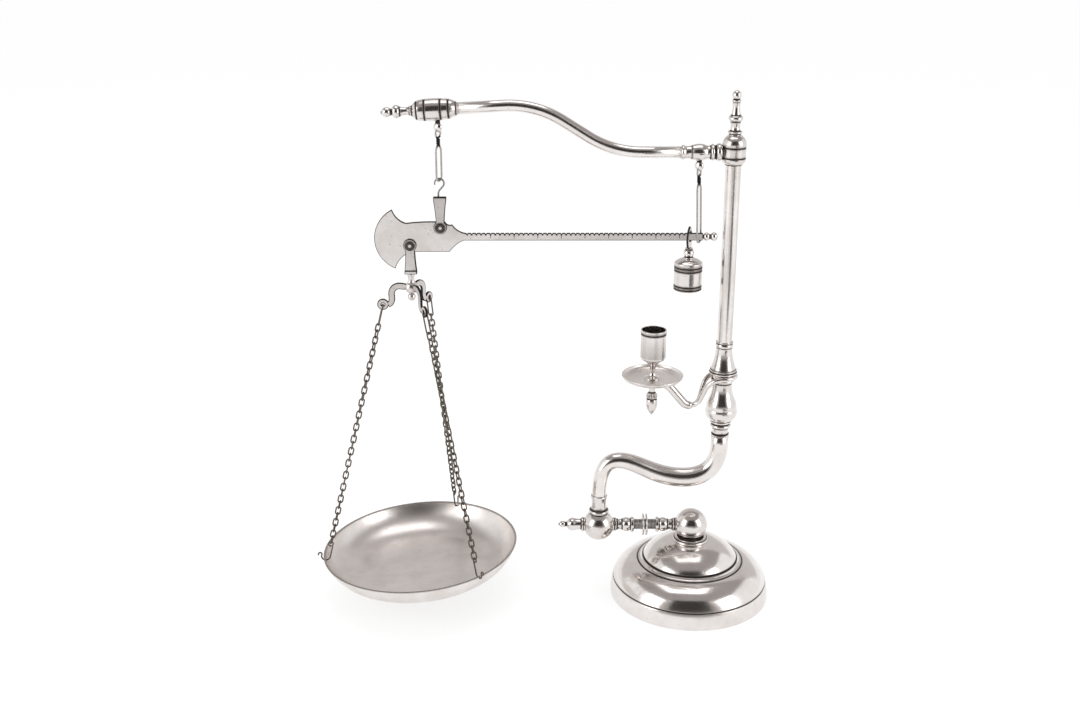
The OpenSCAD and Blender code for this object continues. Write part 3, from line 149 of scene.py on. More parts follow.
class BalanceSizes(bpy.types.PropertyGroup):
    """Sizes that the pieces share; those that the frame gives come from it"""

    base_radius: radius_of("base_dome", "Base radius", "Radius of the base at the table")
    ball_radius: radius_of("base_ball", "Ball radius", "Radius of the ball on the base")
    elbow_ball_radius: radius_of("elbow_ball", "Elbow ball radius", "Radius of the ball under the S tube")
    lock_ring_radius: radius_of("lock_ring_left", "Lock ring radius", "Radius of the two discs on the screw")
    column_radius: radius_of("column_tube", "Column radius", "Radius of the column's plain tube")
    arm_radius: radius_of("arm_rod", "Arm radius", "Radius of the cranked arm")
    poise_radius: radius_of("poise_body", "Poise radius", "Radius of the poise's body")
    link_wire: length_of("Link wire", "Radius of the wire of the long links", 0.00095)
    notch_pitch: length_of("Notch pitch", "Distance between the beam's notches", 0.0043, 0.001)
    edge_ease: length_of("Eased edges", "How far the polisher has rounded each edge", 0.0002, 0.00002)
    # The dark colour round a crevice is tarnish together with painted shade; this is how far it spreads
    shade_and_dirt_reach: length_of("Dirt reach", "How far the dark polish spreads from a crevice", 0.0012, 0.0001)
    turning_steps: IntProperty(
        name="Turning steps", description="Faces round each turned piece", default=72, min=24, max=256)


class BalanceFinish(bpy.types.PropertyGroup):
    """Colours and wear of the finishes"""

    silver: colour_of("Silver", "Colour of the polished plate", (0.82, 0.785, 0.765))
    film: colour_of("Film", "Colour of the thin tarnish on open surfaces", (0.60, 0.54, 0.50))
    crevice: colour_of("Crevice", "Colour of the black sulphide in the grooves", (0.045, 0.04, 0.038))
    chain: colour_of("Chain", "Colour of the unpolished chain wire", (0.17, 0.145, 0.12))
    steel: colour_of("Steel", "Colour of the pins, the screw and the hidden fixings", (0.55, 0.53, 0.51))
    iron: colour_of("Iron", "Colour of the cast loading", (0.10, 0.095, 0.09))
    baize: colour_of("Baize", "Colour of the pad under the base", (0.045, 0.10, 0.06))
    film_amount: share_of("Film amount", "Share of the open surface that has a thin tarnish", 0.45)
    scratch_amount: share_of("Scratches", "Strength of the fine polishing scratches", 0.35)
    pit_amount: share_of("Pits", "Strength of the small pits and knocks", 0.5)


class BalanceStudio(bpy.types.PropertyGroup):
    """Floor and lights"""

    floor: colour_of("Floor", "Colour of the floor", (0.93, 0.93, 0.93))
    shadow: share_of("Shadow", "Share of the floor's look that comes from the lamps", 0.35)
    side_power: power_of("Side lights", "Power of each tall side light", 14.0)
    top_power: power_of("Top light", "Power of the light overhead", 8.0)
    room: share_of("Room", "Strength of the pale room on the object", 0.9)


# Outlines


def sweep(centre, radius, first, turn, parts):
    """Points along a circle, from the angle first through the angle turn."""
    angles = [first + turn * i / parts for i in range(parts + 1)]
    return [(centre[0] + radius * cos(angle), centre[1] + radius * sin(angle)) for angle in angles]


def arc(start, end, rise, parts=10):
    """Points of the arc that stands rise proud of its chord, to the chord's left where rise is above 0."""
    p = Vector(start)
    q = Vector(end)
    chord = (q - p).length
    radius = (chord * chord / 4 + rise * rise) / (2 * rise)
    along = (q - p) / chord
    side = Vector((-along.y, along.x))
    centre = (p + q) / 2 + side * (rise - radius)
    first = atan2(p.y - centre.y, p.x - centre.x)
    last = atan2(q.y - centre.y, q.x - centre.x)
    return sweep(centre, abs(radius), first, (last - first + pi) % (2 * pi) - pi, parts)


def round_points(radius, low, high, parts=24):
    """Points of a ball's outline from the height low to the height high over its centre."""
    first = asin(max(-1, min(1, low / radius)))
    last = asin(max(-1, min(1, high / radius)))
    return [(max(0, r), z) for r, z in sweep((0, 0), radius, first, last - first, parts)]


def spread(points, gap, closed):
    """The points without those that lie nearer to the one before than the gap."""
    kept = []
    for p in points:
        if not kept or (Vector(p) - Vector(kept[-1])).length > gap:
            kept.append(p)
    if closed and (Vector(kept[0]) - Vector(kept[-1])).length < gap:
        kept.pop()
    return kept


def grooved(points, heights, width=0.8, depth=0.6):
    """Points with a round bottomed groove cut in the outer side at each height."""
    for height in heights:
        best = None
        for i in range(len(points) - 1):
            a, b = points[i], points[i + 1]
            if min(a[1], b[1]) <= height <= max(a[1], b[1]) and abs(a[1] - b[1]) > 1e-6:
                t = (height - a[1]) / (b[1] - a[1])
                r = a[0] + t * (b[0] - a[0])
                if best is None or r > best[1]:
                    best = (i, r)
        i, r = best
        sign = 1 if points[i + 1][1] > points[i][1] else -1
        low = height - sign * width / 2
        high = height + sign * width / 2

        def near(point):
            return abs(point[1] - height) < width / 2 and point[0] > r - 1

        before = [p for p in points[:i + 1] if not (near(p) and sign * (p[1] - low) > 0)]
        after = [p for p in points[i + 1:] if not (near(p) and sign * (high - p[1]) > 0)]
        points = before + [
            (r, low), (r - depth * 0.8, height - sign * width * 0.3), (r - depth, height),
            (r - depth * 0.8, height + sign * width * 0.3), (r, high)] + after
    return points


def eased(points, ease, reach, closed=False):
    """The outline with its corners rounded by a hair, and the share of dark tarnish and painted shade at each
    point.
    """
    clean = spread(points, 0.02, closed)
    count = len(clean)
    made = []
    crevices = []
    for i, p in enumerate(clean):
        p = Vector(p)
        if not closed and i in (0, count - 1):
            made.append(p)
            continue
        back = p - Vector(clean[i - 1])
        ahead = Vector(clean[(i + 1) % count]) - p
        turn = atan2(back.x * ahead.y - back.y * ahead.x, back.dot(ahead))
        if abs(turn) < LEAST_TURN:
            made.append(p)
            continue
        if turn < 0:
            crevices.append((p, min(1, -turn / FULL_CREVICE)))
        cut = min(ease, 0.35 * back.length, 0.35 * ahead.length)
        inner = p - back.normalized() * cut
        outer = p + ahead.normalized() * cut
        far = reach if turn < 0 else cut + ease
        for share in (1, 0.5):
            if back.length > 2.2 * far:
                made.append(p - back.normalized() * (cut + (far - cut) * share))
        made.extend([inner, 0.25 * inner + 0.5 * p + 0.25 * outer, outer])
        for share in (0.5, 1):
            if ahead.length > 2.2 * far:
                made.append(p + ahead.normalized() * (cut + (far - cut) * share))
    spaced = []
    for i, p in enumerate(made):
        spaced.append(p)
        if i == len(made) - 1 and not closed:
            continue
        run = made[(i + 1) % len(made)] - p
        if run.length > 2.4 * reach:
            step = run.normalized() * reach * 1.05
            spaced.extend([p + step, p + run - step])
    dirt_and_shade = [max([0] + [depth * max(0, 1 - (p - centre).length / reach) for centre, depth in crevices])
            for p in spaced]
    return [(p.x, p.y) for p in spaced], dirt_and_shade


def wire_points(moves, start=(0, 0), heading=0, step=7):
    """Points of a bent wire in the XZ plane: each move is (length, 0) or (bend radius, angle)."""
    x, z = start
    made = [(x, z)]
    for size, turn in moves:
        if turn == 0:
            x += size * sin(radians(heading))
            z += size * cos(radians(heading))
            made.append((x, z))
            continue
        sign = 1 if turn > 0 else -1
        cx = x + sign * size * cos(radians(heading))
        cz = z - sign * size * sin(radians(heading))
        parts = max(1, ceil(abs(turn) / step))
        for k in range(1, parts + 1):
            angle = radians(heading + turn * k / parts)
            x = cx - sign * size * cos(angle)
            z = cz + sign * size * sin(angle)
            made.append((x, z))
        heading += turn
    return made


def cubic(handles, parts):
    """Points along a cubic curve with four handles."""
    a, b, c, d = [Vector(h) for h in handles]
    made = []
    for i in range(parts + 1):
        t = i / parts
        made.append((1 - t) ** 3 * a + 3 * t * (1 - t) ** 2 * b + 3 * t * t * (1 - t) * c + t ** 3 * d)
    return made


def through(points, parts):
    """Points of the smooth curve that runs through the given ones, each a tuple of any length."""
    made = []
    last = len(points) - 1
    for i in range(last):
        near = [points[min(max(i + k, 0), last)] for k in (-1, 0, 1, 2)]
        for k in range(parts):
            t = k / parts
            made.append(tuple(
                0.5 * (2 * q + (r - p) * t + (2 * p - 5 * q + 4 * r - s) * t * t
                       + (3 * q - p - 3 * r + s) * t * t * t)
                for p, q, r, s in zip(*near)))
    made.append(tuple(points[-1]))
    return made


def with_lobe(points, centre, radius, parts=20):
    """The closed outline with a round lobe joined to it where it crosses the lobe's circle."""
    centre = Vector(centre)
    inside = [(Vector(p) - centre).length < radius for p in points]
    if not any(inside) or all(inside):
        return points
    count = len(points)
    start = next(i for i in range(count) if inside[i] and not inside[i - 1])
    stop = start
    while inside[(stop + 1) % count]:
        stop += 1

    def crossing(out, into):
        a, b = Vector(out), Vector(into)
        for _ in range(30):
            middle = (a + b) / 2
            if (middle - centre).length < radius:
                b = middle
            else:
                a = middle
        return atan2(a.y - centre.y, a.x - centre.x)

    first = crossing(points[start - 1], points[start])
    last = crossing(points[(stop + 1) % count], points[stop % count])
    lobe = sweep(centre, radius, first, (last - first) % (2 * pi), parts)
    return lobe + [points[(stop + 1 + k) % count] for k in range(count - (stop - start + 1))]


# Mesh tools


def at(x=0, y=0, z=0):
    return Matrix.Translation((x, y, z))


def turned_by(angle, axis):
    return Matrix.Rotation(radians(angle), 4, axis)


def frame_of(x, y, z, origin):
    """Frame with the given axes and origin."""
    made = Matrix((x, y, z)).transposed().to_4x4()
    made.translation = origin
    return made


def squared(way, along):
    """The direction nearest to way that stands square to along."""
    return (Vector(way) - Vector(way).dot(along) * along).normalized()


# Each vertex's share of dark tarnish and painted shade
def shade_and_dirt_layer(bm):
    return bm.verts.layers.float.get("dirt_and_shade") or bm.verts.layers.float.new("dirt_and_shade")


def chain_of_edges(bm, outline):
    """Vertices and edges along an outline of (radius, height, share of tarnish and painted shade)."""
    layer = shade_and_dirt_layer(bm)
    made = []
    for r, z, share in outline:
        vert = bm.verts.new((r, 0, z))
        vert[layer] = share
        made.append(vert)
    return made, [bm.edges.new(pair) for pair in zip(made, made[1:])]


def turn_outline(bm, outline, place=None, closed=False, steps=None, ease=None, flutes=None):
    """Spins an outline of (radius, height) about Z, and puts the turned piece in its place."""
    sizes = bpy.context.scene.balance_sizes
    ease = sizes.edge_ease / MM if ease is None else ease
    layer = shade_and_dirt_layer(bm)
    others = set(bm.verts)
    points, dirt_and_shade = eased(outline, ease, sizes.shade_and_dirt_reach / MM, closed)
    made, edges = chain_of_edges(bm, [(max(r, 0), z, share) for (r, z), share in zip(points, dirt_and_shade)])
    if closed:
        edges.append(bm.edges.new((made[-1], made[0])))
    bmesh.ops.spin(
        bm, geom=made + edges, cent=(0, 0, 0), axis=(0, 0, 1), dvec=(0, 0, 0), angle=2 * pi,
        steps=steps or sizes.turning_steps, use_merge=True, use_normal_flip=False, use_duplicate=False)
    bmesh.ops.remove_doubles(bm, verts=[v for v in bm.verts if v not in others], dist=0.0008)
    fresh = [v for v in bm.verts if v not in others]
    # The flutes' hollows are darkened with tarnish and painted shade
    if flutes:
        low, high, count, depth = flutes
        for vert in fresh:
            if low <= vert.co.z <= high:
                share = sin(pi * (vert.co.z - low) / (high - low)) ** 0.5
                wave = 0.5 - 0.5 * cos(count * atan2(vert.co.y, vert.co.x))
                scale = 1 - depth * share * wave
                vert.co.x *= scale
                vert.co.y *= scale
                vert[layer] = max(vert[layer], 0.8 * share * wave ** 2)
    if place is not None:
        bmesh.ops.transform(bm, matrix=place, verts=fresh)


def run_tube(bm, path, radii, side, sides=20, closed=False, place=None, round_ends=False):
    """A tube of round section along a path in space or in the XZ plane, with a radius for each point."""
    path = [Vector(p) if len(p) == 3 else Vector((p[0], 0, p[1])) for p in path]
    radii = list(radii) if hasattr(radii, "__len__") else [radii] * len(path)
    if round_ends:
        ahead = (path[0] - path[1]).normalized()
        behind = (path[-1] - path[-2]).normalized()
        path = ([path[0] + ahead * radii[0] * 0.5, path[0] + ahead * radii[0] * 0.35] + path
                + [path[-1] + behind * radii[-1] * 0.35, path[-1] + behind * radii[-1] * 0.5])
        radii = [radii[0] * 0.55, radii[0] * 0.85] + radii + [radii[-1] * 0.85, radii[-1] * 0.55]
    last = len(path) - 1
    shade_and_dirt_layer(bm)
    start = set(bm.verts)
    before = None
    ring = []
    for i, point in enumerate(path):
        if closed and i in (0, last):
            ahead = path[1] - path[last - 1]
        else:
            ahead = path[min(i + 1, last)] - path[max(i - 1, 0)]
        ahead.normalize()
        u = squared(side, ahead)
        here = frame_of(u * radii[i], ahead.cross(u) * radii[i], ahead * radii[i], point)
        if place is not None:
            here = place @ here
        if before is None:
            made = bmesh.ops.create_circle(
                bm, cap_ends=not closed, segments=sides, radius=1, matrix=here)["verts"]
            ring = [e for e in set(e for v in made for e in v.link_edges)]
        else:
            grown = bmesh.ops.extrude_edge_only(bm, edges=ring)["geom"]
            verts = [g for g in grown if isinstance(g, bmesh.types.BMVert)]
            fresh = set(verts)
            ring = [g for g in grown if isinstance(g, bmesh.types.BMEdge) and set(g.verts) <= fresh]
            bmesh.ops.transform(bm, matrix=here @ before.inverted(), verts=verts)
        before = here
    if closed:
        bmesh.ops.remove_doubles(bm, verts=[v for v in bm.verts if v not in start], dist=0.002)
    else:
        bmesh.ops.edgeloop_fill(bm, edges=ring)


def cut_plate(bm, outline, thickness, bevel=0.2, hole=None, place=None, rim=0.5):
    """A flat plate in the XZ plane, with eased edges darkened by painted shade, and perhaps a hole."""
    layer = shade_and_dirt_layer(bm)
    start = set(bm.verts)
    rims = []
    for loop in [outline] + ([hole] if hole else []):
        verts = [bm.verts.new((x, -thickness / 2, z)) for x, z in spread(loop, 0.03, True)]
        rims.extend(bm.edges.new((verts[i - 1], verts[i])) for i in range(len(verts)))
        if not hole:
            faces = [bm.faces.new(verts)]
    if hole:
        filled = bmesh.ops.triangle_fill(bm, use_beauty=True, use_dissolve=False, edges=rims)["geom"]
        faces = [g for g in filled if isinstance(g, bmesh.types.BMFace)]
    grown = bmesh.ops.extrude_face_region(bm, geom=faces, use_keep_orig=True)["geom"]
    verts = [g for g in grown if isinstance(g, bmesh.types.BMVert)]
    bmesh.ops.translate(bm, vec=(0, thickness, 0), verts=verts)
    faces = [f for f in bm.faces if all(v not in start for v in f.verts)]
    bmesh.ops.recalc_face_normals(bm, faces=faces)
    edges = [edge for face in faces if abs(face.normal.y) > 0.9 for edge in face.edges
             if any(abs(f.normal.y) < 0.5 for f in edge.link_faces)]
    bmesh.ops.bevel(
        bm, geom=list(set(edges)), offset=bevel, offset_type="OFFSET", segments=2, affect="EDGES",
        profile=0.5, material=-1, clamp_overlap=True, loop_slide=True)
    # Painted shade on the eased edges; where there is no rim, the whole plate takes it
    for vert in bm.verts:
        if vert not in start:
            vert[layer] = EDGE_SHADE_AND_DIRT
    if rim:
        broad = [f for f in bm.faces if f.verts[0] not in start and abs(f.normal.y) > 0.99]
        bmesh.ops.inset_region(bm, faces=broad, thickness=rim, depth=0, use_even_offset=True)
        for face in broad:
            for vert in face.verts:
                vert[layer] = FACE_DIRT
    if place is not None:
        bmesh.ops.transform(bm, matrix=place, verts=[v for v in bm.verts if v not in start])


def mesh_of(name, bm, material):
    mesh = bpy.data.meshes.new(name)
    bm.to_mesh(mesh)
    bm.free()
    mesh.materials.append(material)
    return mesh


def add_object(name, data):
    made = bpy.data.objects.new(name, data)
    bpy.context.scene.collection.objects.link(made)
    return made


def finish_piece(name, bm, finish, nodes, flats=False):
    """Makes the object of a finished mesh, on the body of the nodes that it stands for."""
    bmesh.ops.dissolve_degenerate(bm, dist=0.0002, edges=bm.edges[:])
    bmesh.ops.recalc_face_normals(bm, faces=bm.faces[:])
    bmesh.ops.scale(bm, vec=(MM, MM, MM), verts=bm.verts[:])
    piece = add_object(name, mesh_of(name, bm, bpy.data.materials[finish]))
    piece.data.shade_smooth()
    if flats:
        piece.data.set_sharp_from_angle(angle=radians(16))
    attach(piece, frame["nodes"][nodes[0]]["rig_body"])
    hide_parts(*nodes)


def turned_piece(name, outline, place, finish="polished_silver", nodes=(), slot="silver", **options):
    bm = bmesh.new()
    turn_outline(bm, outline, place, **options)
    finish_piece(name, bm, finish, nodes)


def tube_piece(name, path, radii, sides, finish, nodes, slot="worn_silver", **options):
    bm = bmesh.new()
    run_tube(bm, path, radii, (0, 1, 0), sides, **options)
    finish_piece(name, bm, finish, nodes)


def plate_piece(name, nodes, outline, thickness, finish="polished_silver", **options):
    bm = bmesh.new()
    cut_plate(bm, outline, thickness, **options)
    finish_piece(name, bm, finish, nodes, flats=True)


# Places


def middle_x(node):
    low, high = node_box(node)
    return (low.x + high.x) / 2


SHAFT_Z = 73.5
ELBOW_X = -91.0
BASE_TOP = 57.4
S_TUBE_Z = 105.5
COLUMN_X = middle_x("column_tube")
COLLAR_R = 6.8
PAN_X = -267.5
PAN_R = 95.8
FULCRUM = (-239.3, 374.0)
LOAD = (-267.5, 357.2)
BAR_TOP = 368.4
BAR_LOW = 361.8
BAR_END = -0.5
BAR_START = FULCRUM[0] + 18
FIRST_NOTCH = BAR_START + 6
# Half the gap between a shackle's legs, and how thick each leg is
LEG_Y = 1.9
LEG_THICK = 1.5
CANDLE_X = middle_x("candle_socket")
DRIP_Z = 226.2
EYE_R = 4.3
# How strongly the share of tarnish and painted shade darkens the metal
SHADE_AND_DIRT_STRENGTH = 1.5


def on_shaft(x, way=1):
    return at(x, 0, SHAFT_Z) @ turned_by(90 * way, "Y")


def on_column(z):
    return at(COLUMN_X, 0, z)


def on_candle(z):
    return at(CANDLE_X, 0, z)


# Finishes


def set_inputs(tree, node, values):
    """Sets each input of a node to a value, or joins it to a socket."""
    for key, value in values.items():
        if isinstance(value, bpy.types.NodeSocket):
            tree.links.new(value, node.inputs[key])
        else:
            node.inputs[key].default_value = value


def add_node(tree, kind, values=None, **settings):
    """A node with its settings and its inputs."""
    made = tree.nodes.new("ShaderNode" + kind)
    for key, value in settings.items():
        setattr(made, key, value)
    set_inputs(tree, made, values or {})
    return made


def calc(tree, kind, *terms, clamp=False):
    """The outcome of a math node."""
    made = add_node(tree, "Math", dict(enumerate(terms)), operation=kind, use_clamp=clamp)
    return made.outputs[0]


def product(tree, *terms):
    total = terms[0]
    for term in terms[1:]:
        total = calc(tree, "MULTIPLY", total, term)
    return total


def blend_colours(tree, share, first, second):
    return add_node(tree, "Mix", {0: share, 6: first, 7: second}, data_type="RGBA").outputs[2]


def noise(tree, vector, scale, detail, rough=0.5):
    values = {"Vector": vector, "Scale": scale, "Detail": detail, "Roughness": rough}
    return add_node(tree, "TexNoise", values).outputs["Fac"]


def ramp(tree, value, low, high, start=0.0, end=1.0):
    values = {"Value": value, "From Min": low, "From Max": high, "To Min": start, "To Max": end}
    return add_node(tree, "MapRange", values).outputs["Result"]


def bump(tree, height, strength, distance):
    values = {"Height": height, "Strength": strength, "Distance": distance}
    return add_node(tree, "Bump", values).outputs["Normal"]


def shade(colour, strength=1):
    """The colour at a strength, opaque."""
    return tuple(c * strength for c in colour) + (1,)


def new_group(name, inputs, outputs):
    """A node group with its sockets: its tree, what it is given and the node that takes its results."""
    group = bpy.data.node_groups.new(name, "ShaderNodeTree")
    for label, kind, default in inputs:
        socket = group.interface.new_socket(label, in_out="INPUT", socket_type="NodeSocket" + kind)
        if default is not None:
            socket.default_value = default
    for label, kind in outputs:
        group.interface.new_socket(label, in_out="OUTPUT", socket_type="NodeSocket" + kind)
    return group, group.nodes.new("NodeGroupInput").outputs, group.nodes.new("NodeGroupOutput")


def make_grime_and_shade_group():
    """Thin tarnish in clouds on the open surface, and black sulphide together with painted shade in the
    crevices, with a brown fringe of both round them.
    """
    group, given, out = new_group(
        "grime_and_shade",
        [("Vector", "Vector", None), ("Metal", "Color", shade((0.8, 0.8, 0.8))),
         ("Film", "Color", shade((0.6, 0.6, 0.6))), ("Crevice", "Color", shade((0.05, 0.05, 0.05))),
         ("Dirt and shade", "Float", 0.0), ("Film Amount", "Float", 0.4), ("Smooth", "Float", 0.12)],
        [("Color", "Color"), ("Roughness", "Float")])
    cloud = noise(group, given["Vector"], 38.0, 6.0, 0.62)
    speck = noise(group, given["Vector"], 520.0, 4.0, 0.7)
    film = calc(group, "MULTIPLY", ramp(group, cloud, 0.36, 0.72), given["Film Amount"], clamp=True)
    ragged = calc(group, "MULTIPLY_ADD", speck, 0.9, 0.55)
    dirt_and_shade = calc(group, "MULTIPLY", given["Dirt and shade"], ragged, clamp=True)
    stained = blend_colours(group, film, given["Metal"], given["Film"])
    # Round each crevice, a brown fringe of tarnish and painted shade
    halo = calc(group, "MULTIPLY", dirt_and_shade, 1.8, clamp=True)
    brown = blend_colours(group, 0.45, given["Film"], given["Crevice"])
    fringed = blend_colours(group, halo, stained, brown)
    rough = calc(group, "MULTIPLY_ADD", film, 0.16, given["Smooth"])
    rough = calc(group, "MULTIPLY_ADD", speck, 0.07, rough)
    set_inputs(group, out, {
        "Color": blend_colours(group, ramp(group, dirt_and_shade, 0.4, 0.95), fringed, given["Crevice"]),
        "Roughness": calc(group, "MULTIPLY_ADD", dirt_and_shade, 0.45, rough, clamp=True)})


def make_wear_group():
    """Fine scratches, pits and the slow waves of hand polished metal, as a height."""
    group, given, out = new_group(
        "wear",
        [("Vector", "Vector", None), ("Scratches", "Float", 0.3), ("Pits", "Float", 0.4),
         ("Waves", "Float", 0.3)],
        [("Height", "Float"), ("Pit Mask", "Float")])
    total = None
    for turn, stretch in ((23.0, (0.04, 1.0, 1.0)), (-41.0, (1.0, 0.05, 1.0)), (67.0, (1.0, 1.0, 0.05))):
        place = add_node(group, "Mapping", {
            "Vector": given["Vector"], "Rotation": (radians(turn), radians(turn * 0.6), radians(-turn)),
            "Scale": stretch}).outputs["Vector"]
        thin = ramp(group, noise(group, place, 1500.0, 2.0), 0.60, 0.72)
        total = thin if total is None else calc(group, "MAXIMUM", total, thin)
    scratched = calc(group, "MULTIPLY", total, given["Scratches"])
    cells = add_node(group, "TexVoronoi", {"Vector": given["Vector"], "Scale": 420.0}).outputs
    near = ramp(group, cells["Distance"], 0.05, 0.24, 1.0, 0.0)
    rare = add_node(group, "SeparateColor", {"Color": cells["Color"]}).outputs["Red"]
    pits = product(group, near, calc(group, "GREATER_THAN", rare, 0.86), given["Pits"])
    waves = calc(group, "MULTIPLY", noise(group, given["Vector"], 55.0, 2.0), given["Waves"])
    deep = calc(group, "MULTIPLY_ADD", pits, -1.6, waves)
    set_inputs(group, out, {
        "Height": calc(group, "MULTIPLY_ADD", scratched, -0.5, deep), "Pit Mask": pits})


def start_material(name):
    material = bpy.data.materials.new(name)
    material.use_nodes = True
    tree = material.node_tree
    return tree, tree.nodes["Principled BSDF"], tree.nodes.new("ShaderNodeTexCoord").outputs["Object"]


def make_metal(name, metal, film, smooth=0.09, film_amount=None, scratches=None, pits=None, waves=0.5,
               marks=None):
    """Plated or plain metal with its own amounts of tarnish, scratches and pits."""
    look = bpy.context.scene.balance_finish
    tree, shader, place = start_material(name)
    # The vertex share read here is tarnish with painted shade in the hollows and on eased edges; the marks
    # add their own dark lines to it
    shade_and_dirt = add_node(tree, "Attribute", attribute_type="GEOMETRY", attribute_name="dirt_and_shade").outputs["Fac"]
    shade_and_dirt = calc(tree, "MULTIPLY", shade_and_dirt, SHADE_AND_DIRT_STRENGTH)
    if marks is not None:
        shade_and_dirt = calc(tree, "MAXIMUM", shade_and_dirt, marks(tree, place))
    wear = add_node(tree, "Group", node_tree=bpy.data.node_groups["wear"])
    set_inputs(tree, wear, {
        "Vector": place, "Scratches": look.scratch_amount if scratches is None else scratches,
        "Pits": look.pit_amount if pits is None else pits, "Waves": waves})
    grime_and_shade = add_node(tree, "Group", node_tree=bpy.data.node_groups["grime_and_shade"])
    set_inputs(tree, grime_and_shade, {
        "Vector": place, "Dirt and shade": calc(tree, "MAXIMUM", shade_and_dirt, wear.outputs["Pit Mask"]), "Metal": metal,
        "Film": film, "Crevice": shade(look.crevice), "Smooth": smooth,
        "Film Amount": look.film_amount if film_amount is None else film_amount})
    set_inputs(tree, shader, {
        "Metallic": 1.0, "Base Color": grime_and_shade.outputs["Color"], "Roughness": grime_and_shade.outputs["Roughness"],
        "Normal": bump(tree, wear.outputs["Height"], 0.5, 0.00008)})


def beam_marks(tree, place):
    """Dark filling of the notches, and of the long line at every fifth one."""
    pitch = bpy.context.scene.balance_sizes.notch_pitch
    x, _, z = add_node(tree, "SeparateXYZ", {"Vector": place}).outputs

    def near_whole(steps, reach):
        off = calc(tree, "ABSOLUTE", calc(tree, "SUBTRACT", steps, calc(tree, "ROUND", steps)))
        return calc(tree, "LESS_THAN", off, reach)

    def above(value, limit):
        return calc(tree, "GREATER_THAN", value, limit)

    fifths = calc(tree, "DIVIDE", calc(tree, "SUBTRACT", x, FIRST_NOTCH * MM), pitch * 5)
    bar = above(x, -0.215)
    lines = product(tree, near_whole(fifths, 0.00028 / (pitch * 5)), above(z, (BAR_TOP - 4.6) * MM),
                    product(tree, bar, above(fifths, 0.5)))
    notches = calc(tree, "MULTIPLY", fifths, 5.0)
    end = calc(tree, "LESS_THAN", x, -0.013)
    dots = product(tree, near_whole(notches, 0.00085 / pitch), above(z, (BAR_TOP - 1.9) * MM),
                   product(tree, bar, end))
    return calc(tree, "MAXIMUM", lines, calc(tree, "MULTIPLY", dots, 0.9))


def column_reflection_streaks(tree, place):
    """Painted reflections: long faint dark streaks along the column's tube."""
    parts = add_node(tree, "Mapping", {"Vector": place, "Scale": (330.0, 330.0, 5.0)}).outputs["Vector"]
    streak = calc(tree, "SUBTRACT", noise(tree, parts, 1.0, 3.0), 0.5)
    return calc(tree, "MULTIPLY", calc(tree, "MULTIPLY", streak, 3.0, clamp=True), 0.45)


def make_mottled(name, first, second, grain, relief, values):
    """A dull surface whose colour and bumps follow one noise."""
    tree, shader, place = start_material(name)
    height = noise(tree, place, *grain)
    set_inputs(tree, shader, values | {
        "Base Color": blend_colours(tree, height, first, second), "Normal": bump(tree, height, *relief)})


class BALANCE_OT_finishes(bpy.types.Operator):
    """Make the finishes, and give each CAD node that stays in sight its own"""

    bl_idname = "balance.make_finishes"
    bl_label = "Finishes"

    def execute(self, context):
        look = context.scene.balance_finish
        silver = look.silver
        film = shade(look.film)
        make_grime_and_shade_group()
        make_wear_group()
        make_metal("polished_silver", shade(silver, 0.92), film, film_amount=0.6)
        # The column's dark streaks are painted reflections
        make_metal("column_silver", shade(silver), film, film_amount=0.6, marks=column_reflection_streaks)
        make_metal("base_silver", shade(silver), film, 0.1, waves=1.4, pits=0.45)
        make_metal("tube_silver", shade(silver), film, 0.1, waves=1.0)
        make_metal("pan_silver", shade(silver), film, 0.26, 0.55, scratches=0.7, waves=1.6, pits=0.35)
        make_metal("beam_silver", shade(silver), film, 0.2, scratches=0.5, pits=0.8, marks=beam_marks)
        make_metal("plate_silver", shade(silver, 0.86), film, 0.24, 0.7, scratches=0.6, pits=1.0)
        make_metal("wire_silver", shade(silver, 0.74), film, 0.2, 0.7, pits=0.3)
        make_metal("dark_wire", shade(silver, 0.42), shade(look.crevice), 0.3, 0.6)
        make_metal("chain_wire", shade(look.chain), shade(look.chain, 0.6), 0.3, 0.7, pits=0.3)
        make_metal("steel", shade(look.steel), shade(look.steel, 0.7), 0.25, pits=0.2)
        make_mottled("baize", shade(look.baize, 0.55), shade(look.baize), (1400.0, 5.0, 0.75), (0.8, 0.0003),
                     {"Roughness": 0.95, "Sheen Weight": 0.4})
        make_mottled("cast_iron", shade(look.iron), shade(look.iron, 1.6), (420.0, 6.0, 0.7), (0.7, 0.0005),
                     {"Roughness": 0.6, "Metallic": 0.8})
        dressed = {
            "baize": ["base_pad"],
            "cast_iron": ["base_loading", "poise_core"],
            "steel": ["base_stud", "base_washer", "base_nut"],
            "chain_wire": ["chain_left", "chain_front", "chain_back", "top_links", "pan_hooks"],
        }
        for finish, nodes in dressed.items():
            for name in nodes:
                frame["nodes"][name].material_slots[0].material = bpy.data.materials[finish]
        return {"FINISHED"}


# Pieces


def dome_outline(inset, base_r):
    """The base's outer outline from rim to neck, or where inset is above 0 the inner one."""
    low = 1.5 if inset else 0
    return (
        [(base_r - inset, low)]
        + arc((base_r - inset, low if inset else 2), (75.6 - inset, 16.4 - inset / 2), -0.6, 8)
        + arc((75.6 - inset, 17.0 - inset / 2), (51.6 - inset * 0.6, 36.6 - inset), -4.6, 28)
        + arc((51.6 - inset * 0.9, 37.2 - inset), (47.2 - inset, 39.2 - inset), 1, 8)
        + arc((46.2 - inset, 40.2 - inset), (16.3 - inset * 0.4, BASE_TOP - inset), -4.2, 26))


